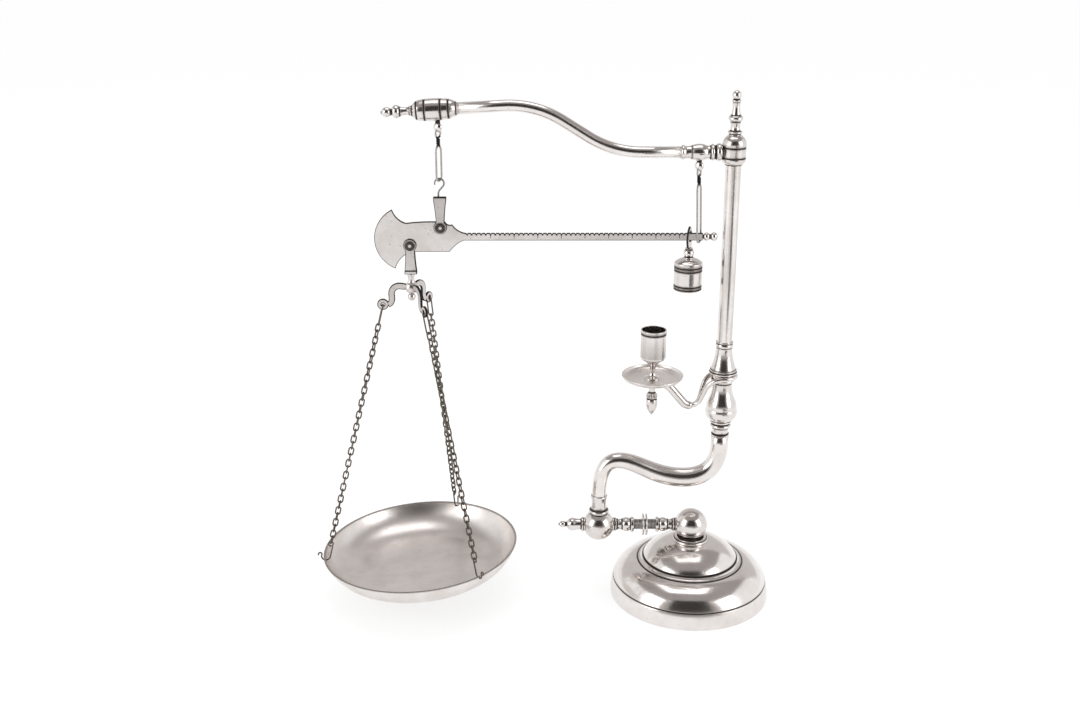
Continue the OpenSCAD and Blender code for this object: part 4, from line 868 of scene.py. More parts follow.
class BALANCE_OT_base(bpy.types.Operator):
    """Make the spun base shell with its two domes, and the collar at its neck"""

    bl_idname = "balance.make_base"
    bl_label = "Base"

    def execute(self, context):
        base_r = context.scene.balance_sizes.base_radius / MM
        outside = grooved(dome_outline(0, base_r), [16.7, 39.6], 1.0, 0.8)
        outline = ([(74.6, 0)] + outside + [(3.1, BASE_TOP), (3.1, BASE_TOP - 1.4)]
                   + dome_outline(1.4, base_r)[::-1] + [(74.6, 1.5)])
        turned_piece("base_shell", outline, None, "base_silver", ["base_dome"], closed=True, steps=160,
                     ease=0.35)
        neck_r = 17.3
        outline = (
            [(0, 0), (neck_r - 0.6, 0)] + arc((neck_r - 0.6, 0), (neck_r - 1.2, 2.8), -0.9, 8)
            + arc((neck_r - 1.2, 2.8), (neck_r - 4, 3.4), -0.6, 6)
            + [(neck_r - 4.4, 1.6), (10.4, 1.4), (9.8, 2.2), (9.6, 3.8), (0, 3.8)])
        turned_piece("neck_ring", outline, at(0, 0, BASE_TOP), "base_silver", ["neck_collar"], steps=96)
        return {"FINISHED"}


def vase_outline():
    """The collars and the vase shaped shank of a shaft, from its ball to the screw."""
    return (
        [(0, 0), (COLLAR_R, 0), (COLLAR_R, 1.2), (COLLAR_R - 1, 1.5), (COLLAR_R - 1, 1.9),
         (COLLAR_R - 0.3, 2.2), (COLLAR_R - 0.3, 3.4), (5.4, 4.2)]
        + arc((5.4, 5.4), (5.4, 8.6), 0.3, 8) + arc((5.4, 9.2), (5.9, 16.8), -1.3, 14)
        + [(5.7, 17.4), (7.3, 17.8), (7.5, 19.0), (7.2, 20.6), (0, 20.6)])


class BALANCE_OT_coupling(bpy.types.Operator):
    """Make the two balls, the shafts between them, the screw and its lock rings, and the foot's finial"""

    bl_idname = "balance.make_coupling"
    bl_label = "Foot coupling"

    def execute(self, context):
        sizes = context.scene.balance_sizes
        ball_r = sizes.ball_radius / MM
        elbow_r = sizes.elbow_ball_radius / MM
        reach = sqrt(ball_r ** 2 - COLLAR_R ** 2)
        elbow_reach = sqrt(elbow_r ** 2 - COLLAR_R ** 2)
        low = node_box("base_ball")[0].z - SHAFT_Z
        outline = [(0, low)] + round_points(ball_r, low, ball_r)
        turned_piece("ball_on_base", outline, at(0, 0, SHAFT_Z), nodes=["base_ball"])
        top = node_box("elbow_ball")[1].z - SHAFT_Z
        outline = round_points(elbow_r, -elbow_r, top) + [(0, top)]
        turned_piece("ball_at_elbow", outline, at(ELBOW_X, 0, SHAFT_Z), nodes=["elbow_ball"])
        turned_piece("shaft_right", vase_outline(), on_shaft(-reach, -1), nodes=["right_shaft"])
        turned_piece("shaft_left", vase_outline(), on_shaft(ELBOW_X + elbow_reach), nodes=["left_shaft"])
        self.make_screw(-reach - 20.6, ELBOW_X + elbow_reach + 20.6)
        ring_r = sizes.lock_ring_radius / MM
        for name in ("lock_ring_right", "lock_ring_left"):
            low_x = node_box(name)[0].x
            outline = ([(5.35, 0), (ring_r - 0.5, 0)] + arc((ring_r - 0.5, 0), (ring_r - 0.5, 1.7), -0.4, 6)
                       + [(5.35, 1.7)])
            turned_piece(name + "_turned", outline, on_shaft(low_x), nodes=[name], closed=True, ease=0.15)
        tip = 25.8
        outline = (
            [(0, 0), (COLLAR_R, 0), (COLLAR_R, 1), (COLLAR_R - 0.8, 1.4), (COLLAR_R + 0.8, 1.8),
             (COLLAR_R + 0.8, 2.8), (5.4, 3.4)]
            + arc((5.4, 4.4), (6.5, tip - 14.4), 0.3, 10) + arc((6.5, tip - 14.4), (3.4, tip - 8.4), -0.9, 12)
            + [(2.2, tip - 7.8), (2.2, tip - 6.8)] + arc((2.2, tip - 6.8), (1, tip - 0.6), -1.6, 12)
            + [(0.6, tip), (0, tip)])
        turned_piece("finial_at_foot", outline, on_shaft(ELBOW_X - elbow_reach, -1), nodes=["foot_finial"])
        return {"FINISHED"}

    def make_screw(self, right, left):
        """A true helical thread, cut square inside both shafts."""
        pitch, root, crest, steps = 1.3, 4.4, 5.3, 32
        turns = ceil((right - left) / pitch) + 4
        bm = bmesh.new()
        # The thread's roots and their sides are darkened with tarnish and painted shade
        made, edges = chain_of_edges(bm, [
            (root, 0, 0.9), (root + 0.1, pitch * 0.06, 0.5), (crest, pitch * 0.38, 0),
            (crest, pitch * 0.62, 0), (root + 0.1, pitch * 0.94, 0.5), (root, pitch, 0.9)])
        bmesh.ops.spin(
            bm, geom=made + edges, cent=(0, 0, 0), axis=(0, 0, 1), dvec=(0, 0, pitch / steps),
            angle=2 * pi * turns, steps=steps * turns, use_merge=False, use_normal_flip=False,
            use_duplicate=False)
        bmesh.ops.remove_doubles(bm, verts=bm.verts[:], dist=0.002)
        for height, way in ((pitch * 1.5, -1), (pitch * (turns - 1.5), 1)):
            bmesh.ops.bisect_plane(
                bm, geom=bm.verts[:] + bm.edges[:] + bm.faces[:], dist=0.0005, plane_co=(0, 0, height),
                plane_no=(0, 0, way), clear_outer=True, clear_inner=False)
        bmesh.ops.holes_fill(bm, edges=[e for e in bm.edges if e.is_boundary], sides=0)
        place = on_shaft((right + left) / 2) @ at(0, 0, -pitch * turns / 2)
        bmesh.ops.transform(bm, matrix=place, verts=bm.verts[:])
        finish_piece("screw", bm, "steel", ["threaded_stud"])


def tube_radius(t):
    """Radius of the S tube at a share of its length: it swells up to 0.72 of it, then thins a little."""
    if t < 0.72:
        return 7.1 + 2.4 * sin(radians(90 * t / 0.72)) ** 2
    return 8.4 + 1.1 * cos(radians(90 * (t - 0.72) / 0.28)) ** 2


class BALANCE_OT_tube(bpy.types.Operator):
    """Make the bulged collar on the elbow and the S tube that climbs from it to the column"""

    bl_idname = "balance.make_tube"
    bl_label = "S tube"

    def execute(self, context):
        start = 85.9
        top = S_TUBE_Z - start
        outline = grooved(
            [(0, 0), (9, 0)] + arc((9, 0.8), (9, 4.4), -1, 8) + arc((8.3, 4.8), (8, top - 2.4), 0.9, 14)
            + [(8.2, top - 1.6), (8.2, top - 0.4), (7.8, top), (0, top)], [4.6])
        turned_piece("collar_on_elbow", outline, at(ELBOW_X, 0, start), nodes=["elbow_collar"])
        middle = Vector((ELBOW_X + 49, 0, S_TUBE_Z + 26.5))
        slope = Vector((cos(radians(24)), 0, -sin(radians(24))))
        end_z = node_box("lower_collar")[0].z
        left = cubic(
            [(ELBOW_X, 0, S_TUBE_Z + 1), (ELBOW_X, 0, S_TUBE_Z + 52), middle - 24 * slope, middle], 34)
        right = cubic([middle, middle + 28 * slope, (COLUMN_X, 0, end_z - 54), (COLUMN_X, 0, end_z - 10)], 34)
        path = left + right[1:]
        radii = [tube_radius(i / (len(path) - 1)) for i in range(len(path))]
        path.insert(0, Vector((ELBOW_X, 0, S_TUBE_Z)))
        radii.insert(0, radii[0])
        path.append(Vector((COLUMN_X, 0, end_z)))
        radii.append(radii[-1])
        tube_piece("tube_of_stand", path, radii, 40, "tube_silver", ["s_tube"])
        return {"FINISHED"}


class BALANCE_OT_column(bpy.types.Operator):
    """Make the baluster, the plain column and the turned head"""

    bl_idname = "balance.make_column"
    bl_label = "Column"

    def execute(self, context):
        tube_r = context.scene.balance_sizes.column_radius / MM
        start = node_box("lower_collar")[0].z
        end_r = 8.4
        h = 14.2
        outline = grooved(
            [(0, 0), (end_r - 0.4, 0), (end_r, 0.6), (end_r - 0.2, 1.4)]
            + arc((end_r - 0.3, 1.4), (end_r - 0.1, h - 7), 0.5, 8)
            + arc((end_r + 0.6, h - 6.4), (end_r + 0.6, h - 3.6), -0.9, 8)
            + [(end_r, h - 3), (end_r + 0.2, h - 2.4), (end_r + 1.9, h - 1.2), (end_r + 1.9, h), (0, h)],
            [0.95], 0.7, 0.4)
        turned_piece("collar_under_pear", outline, on_column(start), nodes=["lower_collar"])
        h = 42.6
        waist = 9.3
        outline = (
            [(0, 0), (10.2, 0), (10.4, 0.8)] + arc((10.6, 1), (14.5, 13), -2.3, 16)
            + arc((14.5, 13), (12.4, 22.4), -0.5, 10) + arc((12.4, 22.4), (waist - 0.3, h - 3.8), 1, 16)
            + [(waist + 1.8, h - 1.4), (waist + 2, h - 0.8), (waist + 1.8, h), (waist, h),
               (waist, h + 5.6), (0, h + 5.6)])
        pear_z = node_box("pear_baluster")[0].z
        turned_piece("pear", outline, on_column(pear_z), nodes=["pear_baluster"])
        h = 25.4
        r = 13.3
        outline = (
            [(0, 0), (r - 0.6, 0), (r, 0.8), (r, 1.6), (r - 0.9, 2.2), (r - 0.6, 2.8), (r - 0.8, 4.2)]
            + arc((r - 1.2, 4.6), (7.6, h - 1), 0.8, 14) + [(7.6, h), (0, h)])
        turned_piece("cone", outline, on_column(pear_z + 48.2), nodes=["cone_baluster"])
        h = 6
        r = 8.3
        outline = (
            [(0, 0), (r - 0.6, 0)] + arc((r - 0.6, 0.4), (r - 0.6, h - 1.6), -0.6, 10)
            + [(r - 0.9, h - 1.2), (r - 0.1, h - 0.8), (r - 0.1, h), (0, h)])
        turned_piece("ring_over_cone", outline, on_column(pear_z + 73.6), nodes=["column_collar"])
        low, high = node_box("column_tube")
        end = high.z - 0.05
        outline = [(tube_r - 1.2, low.z), (tube_r, low.z), (tube_r, end), (tube_r - 1.2, end)]
        turned_piece("tube_of_column", outline, on_column(0), "column_silver", ["column_tube"], "worn_silver",
                     closed=True)
        r = 10.6
        h = 26.6
        outline = grooved(
            [(0, 0), (tube_r + 0.6, 0), (tube_r + 0.9, 0.5)] + arc((tube_r + 1, 0.8), (r, 6.4), -1, 10)
            + [(r, h - 9.6)] + arc((r, h - 9.6), (7.2, h - 1), -1.4, 12) + [(6.4, h), (0, h)],
            [6.7, 16])
        turned_piece("knob_of_head", outline, on_column(high.z), nodes=["head_knob"])
        length = 39.6
        outline = (
            [(0, 0), (5.4, 0), (5.4, 0.8), (4.6, 1.2)] + arc((6, 1.8), (6, 3.6), -0.5, 8) + [(4.6, 4.2)]
            + arc((4.4, 4.6), (4.7, length - 27.4), 0.4, 10)
            + arc((5.2, length - 27), (5.2, length - 22.4), -1.3, 12)
            + arc((4.4, length - 21.8), (3.4, length - 10.4), 0.6, 10)
            + [(3.9, length - 9.4), (3.9, length - 8.6), (2.8, length - 8.2)]
            + arc((2.9, length - 7.6), (0.4, length), -2.3, 14) + [(0, length)])
        turned_piece("finial_of_head", outline, on_column(high.z + h), nodes=["top_finial"])
        return {"FINISHED"}


class BALANCE_OT_candle(bpy.types.Operator):
    """Make the forked candle arm with its ring, the drip pan, the socket and the acorn under them"""

    bl_idname = "balance.make_candle"
    bl_label = "Candle arm"

    def execute(self, context):
        self.make_fork()
        boss = 7.6
        outline = [(0, 0), (4.6, 0), (4.6, boss), (0, boss)]
        turned_piece("boss_of_candle_arm", outline, on_candle(DRIP_Z - boss), nodes=["candle_boss"], ease=0.5)
        r = 29.2
        outline = (
            [(0, 0), (r - 4.6, 0)] + arc((r - 4.6, 0), (r, 4.4), -0.8, 10)
            + [(r - 0.3, 4.9), (r - 1, 4.8)] + arc((r - 1.2, 4.4), (r - 5, 1.2), 0.7, 10)
            + [(0, 1.2)])
        turned_piece("pan_of_candle", outline, on_candle(DRIP_Z), "pan_silver", ["drip_pan"], steps=96)
        floor_z = DRIP_Z + 1.2
        r = 11.9
        h = 275.8 - floor_z
        deep = h - 26
        outside = grooved(
            [(0, 0), (7.8, 0), (7.8, 0.8)] + arc((7.4, 1.2), (2.6, 6.6), 1.4, 12) + [(2.3, 8.4)]
            + arc((2.4, 9.4), (r - 1.6, deep - 3.2), 1.2, 12)
            + arc((r - 1.6, deep - 3.2), (r, deep - 1), -0.5, 8)
            + [(r, h - 3.6), (r + 0.3, h - 3), (r + 0.3, h)], [h - 3.4], 0.7, 0.45)
        outline = outside + [(11, h), (11, deep), (0, deep)]
        turned_piece("socket_of_candle", outline, on_candle(floor_z), nodes=["candle_socket"])
        outline = (
            [(0, 0), (0.5, 0.1)] + arc((0.8, 0.4), (5.6, 11.6), -1.1, 14) + arc((5.6, 11.6), (5, 16), -0.2, 6)
            + [(4.4, 16.6)] + arc((4.6, 17), (4, 22.4), -1, 12) + [(3, 23.2), (3, 28.4), (0, 28.4)])
        turned_piece("acorn_of_candle", outline, on_candle(DRIP_Z - boss - 28.4), nodes=["acorn_finial"],
                     steps=120, flutes=(17, 22.6, 20, 0.07))
        return {"FINISHED"}

    def make_fork(self):
        rod_r, wire_r = 3.8, 2.4
        ring_r = 9.3 + 0.05 + wire_r
        ring_z = node_box("candle_ring")[0].z + wire_r
        fork_x, fork_z, fork_r = -5.7, ring_z - 30.2, 9.0
        rod_z = DRIP_Z - rod_r - 0.4
        dive, dive_r = 50.0, 14.0
        lean, rise = cos(radians(dive)), sin(radians(dive))
        run = (rod_z - fork_z - (dive_r + fork_r) * (1 - lean)) / rise
        dive_x = fork_x - fork_r * rise - run * lean - dive_r * rise
        start = CANDLE_X + 3.2
        rod = wire_points(
            [(dive_x - start, 0), (dive_r, dive), (run, 0), (fork_r, -dive)], (start, rod_z), 90, 6)
        bm = bmesh.new()
        swell = [rod_r + 0.5 * sin(pi * i / (len(rod) - 1)) for i in range(len(rod))]
        run_tube(bm, rod, swell, (0, 1, 0), 24, round_ends=True)
        slope = 73.0
        lean, rise = cos(radians(slope)), sin(radians(slope))
        span = COLUMN_X - fork_x
        reach = hypot(ring_r, ring_z - fork_z)
        straight = (reach * rise - span * (1 - lean)) / (rise * rise - lean * (1 - lean))
        bends = (span - straight * lean) / rise
        tilt = atan2(ring_r, ring_z - fork_z)
        climb = [(-2.5, 0)] + wire_points(
            [(fork_r, -slope), (straight, 0), (bends - fork_r, slope)], (0, 0), 90, 6)
        path = [(fork_x + x, -z * sin(tilt), fork_z + z * cos(tilt)) for x, z in climb]
        for i in range(1, 24):
            angle = radians(-90 + 180 * i / 24)
            path.append((COLUMN_X + ring_r * cos(angle), ring_r * sin(angle), ring_z))
        path += [(x, -y, z) for x, y, z in reversed(path[:len(climb)])]
        run_tube(bm, path, wire_r, (0, 1, 0.02), 20, round_ends=True)
        finish_piece("fork_of_candle_arm", bm, "polished_silver", ["candle_arm", "candle_ring"])


class BALANCE_OT_arm(bpy.types.Operator):
    """Make the cranked arm with its root, its barrel and its finial"""

    bl_idname = "balance.make_arm"
    bl_label = "Top arm"

    def execute(self, context):
        arm_r = context.scene.balance_sizes.arm_radius / MM
        root_x, root_z = -22.6, 442.4
        span = COLUMN_X - 10.6 + 1.2 - root_x
        outline = (
            [(0, 0), (6.1, 0)] + arc((6.2, 0.2), (6.2, 2.4), -0.4, 8) + [(5.9, 2.8)]
            + arc((5.8, 3), (6.1, 8.8), 0.5, 10) + arc((6.1, 9), (6.3, 22), -1.4, 16)
            + arc((6.1, 22.4), (6.1, 25.6), 0.2, 6) + arc((7, 26.4), (7, 28.8), -0.5, 8)
            + [(6.2, 29.4), (6.2, 30.6)] + arc((6.8, 31), (6.8, span - 1.6), -1.2, 12)
            + [(6, span - 1), (6, span), (0, span)])
        turned_piece("root_of_arm", outline, at(root_x, 0, root_z) @ turned_by(90, "Y"), nodes=["arm_root"])
        bend_r, slope, tail = 90.0, 32.0, 3.2
        climb, crest_x, lead_x, tuck = 41.4, -176, -222, 7.5
        lean, rise = cos(radians(slope)), sin(radians(slope))
        level, dip = cos(radians(tail)), sin(radians(tail))
        run = (climb - 2 * bend_r * (1 - lean)) / rise
        lead = (crest_x - lead_x - bend_r * dip) / level
        lead_z = root_z + climb - bend_r * (1 - level) - lead * dip
        foot_x = crest_x + 2 * bend_r * rise + run * lean
        path = wire_points(
            [(tuck + lead, 0), (bend_r, tail + slope), (run, 0), (bend_r, -slope),
             (root_x + tuck - foot_x, 0)],
            (lead_x - tuck * level, lead_z - tuck * dip), 90 - tail, 2)
        tube_piece("rod_of_arm", path, arm_r, 36, "tube_silver", ["arm_rod"])
        length = 40.6
        barrel = at(lead_x - length * level, 0, lead_z - length * dip) @ turned_by(90 - tail, "Y")
        r = 9.9
        outline = grooved(
            [(0, 0), (4.6, 0), (4.8, 0.6)] + arc((4.8, 1), (r - 0.8, 7.4), -0.9, 12)
            + arc((r - 0.8, 7.4), (r - 0.8, length - 10.6), -0.8, 20)
            + arc((r - 0.8, length - 10.6), (6.4, length - 1.6), -0.7, 12)
            + [(6, length - 1), (6, length), (0, length)],
            [5, 12, length - 14.6, length - 7.6])
        turned_piece("barrel_of_arm", outline, barrel, nodes=["arm_barrel"])
        length = 27
        outline = (
            [(0, 0), (4.4, 0), (4.6, 0.6), (4.2, 1.2)] + arc((4, 1.4), (4.2, 9.6), 0.8, 12)
            + arc((4.2, 10), (3.6, 16.6), -2, 14) + [(2.8, 17.2), (2.8, 17.8)]
            + arc((2.9, 18.2), (1.4, length - 0.8), -2.2, 14) + [(0.8, length), (0, length)])
        turned_piece("finial_of_arm", outline, barrel @ turned_by(180, "X"), nodes=["arm_finial"])
        return {"FINISHED"}


class BALANCE_OT_beam(bpy.types.Operator):
    """Make the beam in one plate, with its axe shaped end, its notched bar and its finial"""

    bl_idname = "balance.make_beam"
    bl_label = "Beam"

    def execute(self, context):
        pitch = context.scene.balance_sizes.notch_pitch / MM
        fx, fz = FULCRUM

        def spot(x, z):
            return (fx + x, fz + z)

        top, low, start = BAR_TOP, BAR_LOW, BAR_START
        outline = (
            arc(spot(-43.6, 16.2), spot(-42.2, -38.7), -17.6, 48)
            + arc(spot(-42.2, -38.7), spot(-33.6, -26.4), 1.2, 8)
            + arc(spot(-33.6, -26.4), spot(-22, -22.8), 0.8, 6) + [spot(8, -22.8)]
            + arc(spot(8, -22.8), (start - 0.4, low - 1.6), 0.6, 8)
            + [(start + 3, low), (BAR_END, low), (BAR_END, top)])
        count = floor((BAR_END - FIRST_NOTCH - 13) / pitch)
        for i in range(count, -1, -1):
            x = FIRST_NOTCH + i * pitch
            outline += [(x + 0.733, top), (x, top - 1.1), (x - 0.733, top)]
        outline += (
            [(start + 4, top)] + arc((start + 4, top), spot(10.6, 2.4), 1.4, 10)
            + arc(spot(10.6, 2.4), spot(4.6, 4.6), 1.4, 8) + arc(spot(3.4, 4.8), spot(-30.4, 3.8), -0.8, 10)
            + arc(spot(-30.4, 3.8), spot(-33.2, 4.4), 0.2, 4)
            + arc(spot(-33.2, 4.4), spot(-43.6, 16.2), 1.8, 16))
        outline = with_lobe(outline, LOAD, 6.6)
        outline = with_lobe(outline, FULCRUM, 6.0)
        plate_piece("beam_plate", ["beam"], outline, 3.0, "beam_silver", bevel=0.22)
        outline = (
            [(0, 0), (1.4, 0)] + arc((1.4, 0.4), (2.2, 6.2), -2.1, 14) + [(2.2, 7)]
            + arc((2.4, 7.4), (1.2, 13.4), -2.2, 14) + [(0, 13.8)])
        place = at(BAR_END, 0, (top + low) / 2) @ turned_by(90, "Y")
        turned_piece("finial_of_beam", outline, place, nodes=["beam_finial"])
        return {"FINISHED"}


def add_shackle(bm, height, top, leg, place, seam=False):
    """Two tapered legs with a disc round the pin, the bridge over their ends, and perhaps a dark seam."""
    thick = LEG_THICK
    outline = (
        [(-top / 2, height), (-top / 2, height - 2.4)] + arc((-top / 2, height - 2.4), (-leg / 2, 4), 0.3, 8)
        + arc((leg / 2, 4), (top / 2, height - 2.4), 0.3, 8) + [(top / 2, height)])
    outline = with_lobe(outline, (0, 0), 6.0)
    ring = sweep((0, 0), 4.3, 0, 2 * pi, 32)[:-1]
    inner, outer = -thick / 2 + 0.05, thick / 2
    disc = [(2.14, inner), (4.28, inner), (4.28, outer - 0.55), (3.2, outer - 0.55), (3.0, outer),
            (2.14, outer)]
    for side in (-1, 1):
        leg_place = place @ at(0, side * (LEG_Y + thick / 2), 0)
        cut_plate(bm, outline, thick, 0.25, ring, leg_place)
        outward = leg_place @ turned_by(-90 * side, "X")
        turn_outline(bm, disc, outward, closed=True, steps=40, ease=0.1)
    bridge = [(-top / 2, height - 2), (top / 2, height - 2), (top / 2, height), (-top / 2, height)]
    cut_plate(bm, bridge, 2 * (LEG_Y + thick) - 0.02, 0.25, None, place, 0)
    if seam:
        line = [(-top / 2 + 0.5, height - 3.9), (top / 2 - 0.5, height - 3.9), (top / 2 - 0.3, height - 2.5),
                (-top / 2 + 0.3, height - 2.5)]
        cut_plate(bm, line, 2 * (LEG_Y + thick) + 0.1, 0.05, None, place, 0)


class BALANCE_OT_shackles(bpy.types.Operator):
    """Make the two shackles with their pins, and the hook in the upper one"""

    bl_idname = "balance.make_shackles"
    bl_label = "Shackles"

    def execute(self, context):
        upright = at(FULCRUM[0], 0, FULCRUM[1])
        hanging = at(LOAD[0], 0, LOAD[1]) @ turned_by(180, "Y")
        for name, place, size in (
                ("fulcrum", upright, (27.6, 11.6, 7.4)), ("load", hanging, (27.0, 11.2, 8.4))):
            bm = bmesh.new()
            add_shackle(bm, *size, place, seam=name == "load")
            finish_piece("shackle_at_" + name, bm, "plate_silver", [name + "_shackle"], flats=True)
            half = LEG_Y + LEG_THICK + 0.03
            outline = ([(0, -half - 0.7)] + arc((0.8, -half - 0.7), (2.6, -half), -0.2, 6)
                       + [(2.1, -half), (2.1, half)] + arc((2.6, half), (0.8, half + 0.7), -0.2, 6)
                       + [(0, half + 0.7)])
            turned_piece("pin_at_" + name, outline, place @ turned_by(90, "X"), "plate_silver",
                         [name + "_pin"], "worn_silver", steps=40, ease=0.1)
        wire, lean = 0.85, 42
        start = FULCRUM[0] - 6 * (1 - cos(radians(lean))) - 4 * sin(radians(lean)) + 4.2 * cos(radians(lean))
        path = wire_points([(4.6, 0), (6, lean), (4, 0), (4.2, -240)], (start, FULCRUM[1] + 26.0), 0, 8)
        taper = [wire * (1 - 0.3 * max(0, i / (len(path) - 1) - 0.75) / 0.25) for i in range(len(path))]
        tube_piece("hook_of_shackle", path, taper, 16, "dark_wire", ["shackle_hook"], "tarnished",
                   round_ends=True)
        return {"FINISHED"}


def add_long_link(bm, length, place, wire):
    """A bent wire link: its ring, its neck wrapped with the wire's end, and its long loop."""
    ring_r, half = 3.6, 4.0
    ring_low = -2 * ring_r
    loop_top = ring_low - 6.4
    ring = [(ring_r * sin(pi * i / 20), 0, -ring_r + ring_r * cos(pi * i / 20)) for i in range(41)]
    run_tube(bm, ring, wire, (0, 1, 0), 14, closed=True, place=place)
    coil = [(x, y, ring_low - 0.6 - 1.45 * i / 18)
            for i, (x, y) in enumerate(sweep((0, 0), wire * 1.15, 0, 8 * pi, 4 * 18))]
    run_tube(bm, coil, wire * 0.8, (0, 0, 1), 10, place=place, round_ends=True)
    run_tube(bm, [(0, 0, ring_low + 0.6), (0, 0, loop_top - 0.9)], wire * 0.7, (0, 1, 0), 12, place=place)
    start, flare, flare_r = wire * 0.6, 40, 5
    lean, rise = sin(radians(flare)), cos(radians(flare))
    slant = (half - start - flare_r * (1 - rise)) / lean
    side = loop_top - slant * rise - flare_r * lean + length - half
    loop = wire_points(
        [(slant, 0), (flare_r, -flare), (side, 0), (half, -180), (side, 0), (flare_r, -flare), (slant, 0)],
        (-start, loop_top), 180 + flare, 10)
    run_tube(bm, loop, wire, (0, 1, 0), 16, place=place, round_ends=True)
    # The wrapped neck is darkened with tarnish and painted shade between the turns; the rest of the wire has
    # a little dark polish
    layer = shade_and_dirt_layer(bm)
    inverse = place.inverted()
    for vert in bm.verts:
        height = (inverse @ vert.co).z
        vert[layer] = EDGE_SHADE_AND_DIRT if loop_top - 1.5 < height < ring_low + 1.2 else WIRE_DIRT


class BALANCE_OT_links(bpy.types.Operator):
    """Make the suspension link, the stay, and the ball eyes that they hang from"""

    bl_idname = "balance.make_links"
    bl_label = "Long links"

    def execute(self, context):
        wire = context.scene.balance_sizes.link_wire / MM
        drop = EYE_R - (wire + 0.55) - 0.9
        turn, stay_x = -30, -6.4
        hang_z = node_box("hook_eye")[0].z + EYE_R
        stay_z = node_box("stay_eye")[0].z + EYE_R
        top = hang_z - drop
        foot = node_box("suspension_link")[0].z + wire
        bm = bmesh.new()
        add_long_link(bm, top - foot, at(FULCRUM[0], 0, top) @ turned_by(turn + 90, "Z"), wire)
        finish_piece("link_of_beam", bm, "wire_silver", ["suspension_link"])
        top = Vector((stay_x, 0, stay_z - drop))
        foot = Vector((-3.8, 0, node_box("stay_loop")[0].z + wire))
        along = (top - foot).normalized()
        across = squared((cos(radians(turn)), sin(radians(turn)), 0), along)
        place = frame_of(across, along.cross(across), along, top) @ turned_by(90, "Z")
        bm = bmesh.new()
        add_long_link(bm, (top - foot).length, place, wire)
        finish_piece("stay_of_beam", bm, "wire_silver", ["stay_loop"])
        for name, x, z, neck in (("hook_eye", FULCRUM[0], hang_z, 2.2), ("stay_eye", stay_x, stay_z, 1.6)):
            top = EYE_R + neck
            outline = round_points(EYE_R, -EYE_R, 3.7)[:-1] + [
                (2.2, 3.9), (2.2, top - 0.3), (2.5, top - 0.1), (2.5, top + 0.6), (0, top + 0.6)]
            bm = bmesh.new()
            turn_outline(bm, outline, steps=40)
            slim = Matrix.Diagonal((1, 0.62, 1, 1))
            bmesh.ops.transform(bm, matrix=slim, verts=[v for v in bm.verts if v.co.z < 3.8])
            bmesh.ops.transform(bm, matrix=at(x, 0, z) @ turned_by(turn, "Z"), verts=bm.verts[:])
            finish_piece(name + "_turned", bm, "polished_silver", [name])
        return {"FINISHED"}


class BALANCE_OT_poise(bpy.types.Operator):
    """Make the poise's round body, its neck and its hook plate"""

    bl_idname = "balance.make_poise"
    bl_label = "Poise"

    def execute(self, context):
        low, high = node_box("poise_body")
        x = middle_x("poise_body")
        h = high.z - low.z
        r = context.scene.balance_sizes.poise_radius / MM
        outline = grooved(
            [(0, 0), (r - 0.6, 0), (r, 0.6), (r, h - 4)] + arc((r - 0.5, h - 3.5), (5.2, h), -0.5, 12)
            + [(0, h)],
            [1.8, 4.6, h - 7.8, h - 10.8])
        turned_piece("body_of_poise", outline, at(x, 0, low.z), nodes=["poise_body"])
        h = 9.5
        outline = (
            [(0, 0), (5, 0), (5, 0.5), (4, 1.1)] + arc((3.4, 1.4), (3, h - 1.1), -1.8, 16)
            + [(3.6, h - 0.5), (3.6, h), (0, h)])
        turned_piece("neck_of_poise", outline, at(x, 0, high.z), nodes=["poise_neck"])
        foot = high.z + h + 0.05 - BAR_TOP
        low = -6.6
        outside = (
            arc((-3, foot), (-5.2, -4), 0.7, 8) + arc((-5.2, -4), (0, 6.2), 1.2, 12)
            + arc((0, 6.2), (5.2, -4), 1.2, 12) + arc((5.2, -4), (3, foot), 0.7, 8))
        slot = (
            [(-1.8, low - 1.2), (-3.3, low + 0.6)] + arc((-3.3, -3.4), (0, 2.4), 1.1, 10)
            + arc((0, 2.4), (3.3, -3.4), 1.1, 10) + [(3.3, low + 0.6), (1.8, low - 1.2)])
        place = at(x, 0, BAR_TOP) @ turned_by(90 - 28, "Z")
        plate_piece(
            "hook_of_poise", ["poise_hook"], outside, 2.0, bevel=0.3, hole=slot, place=place, rim=0.15)
        return {"FINISHED"}


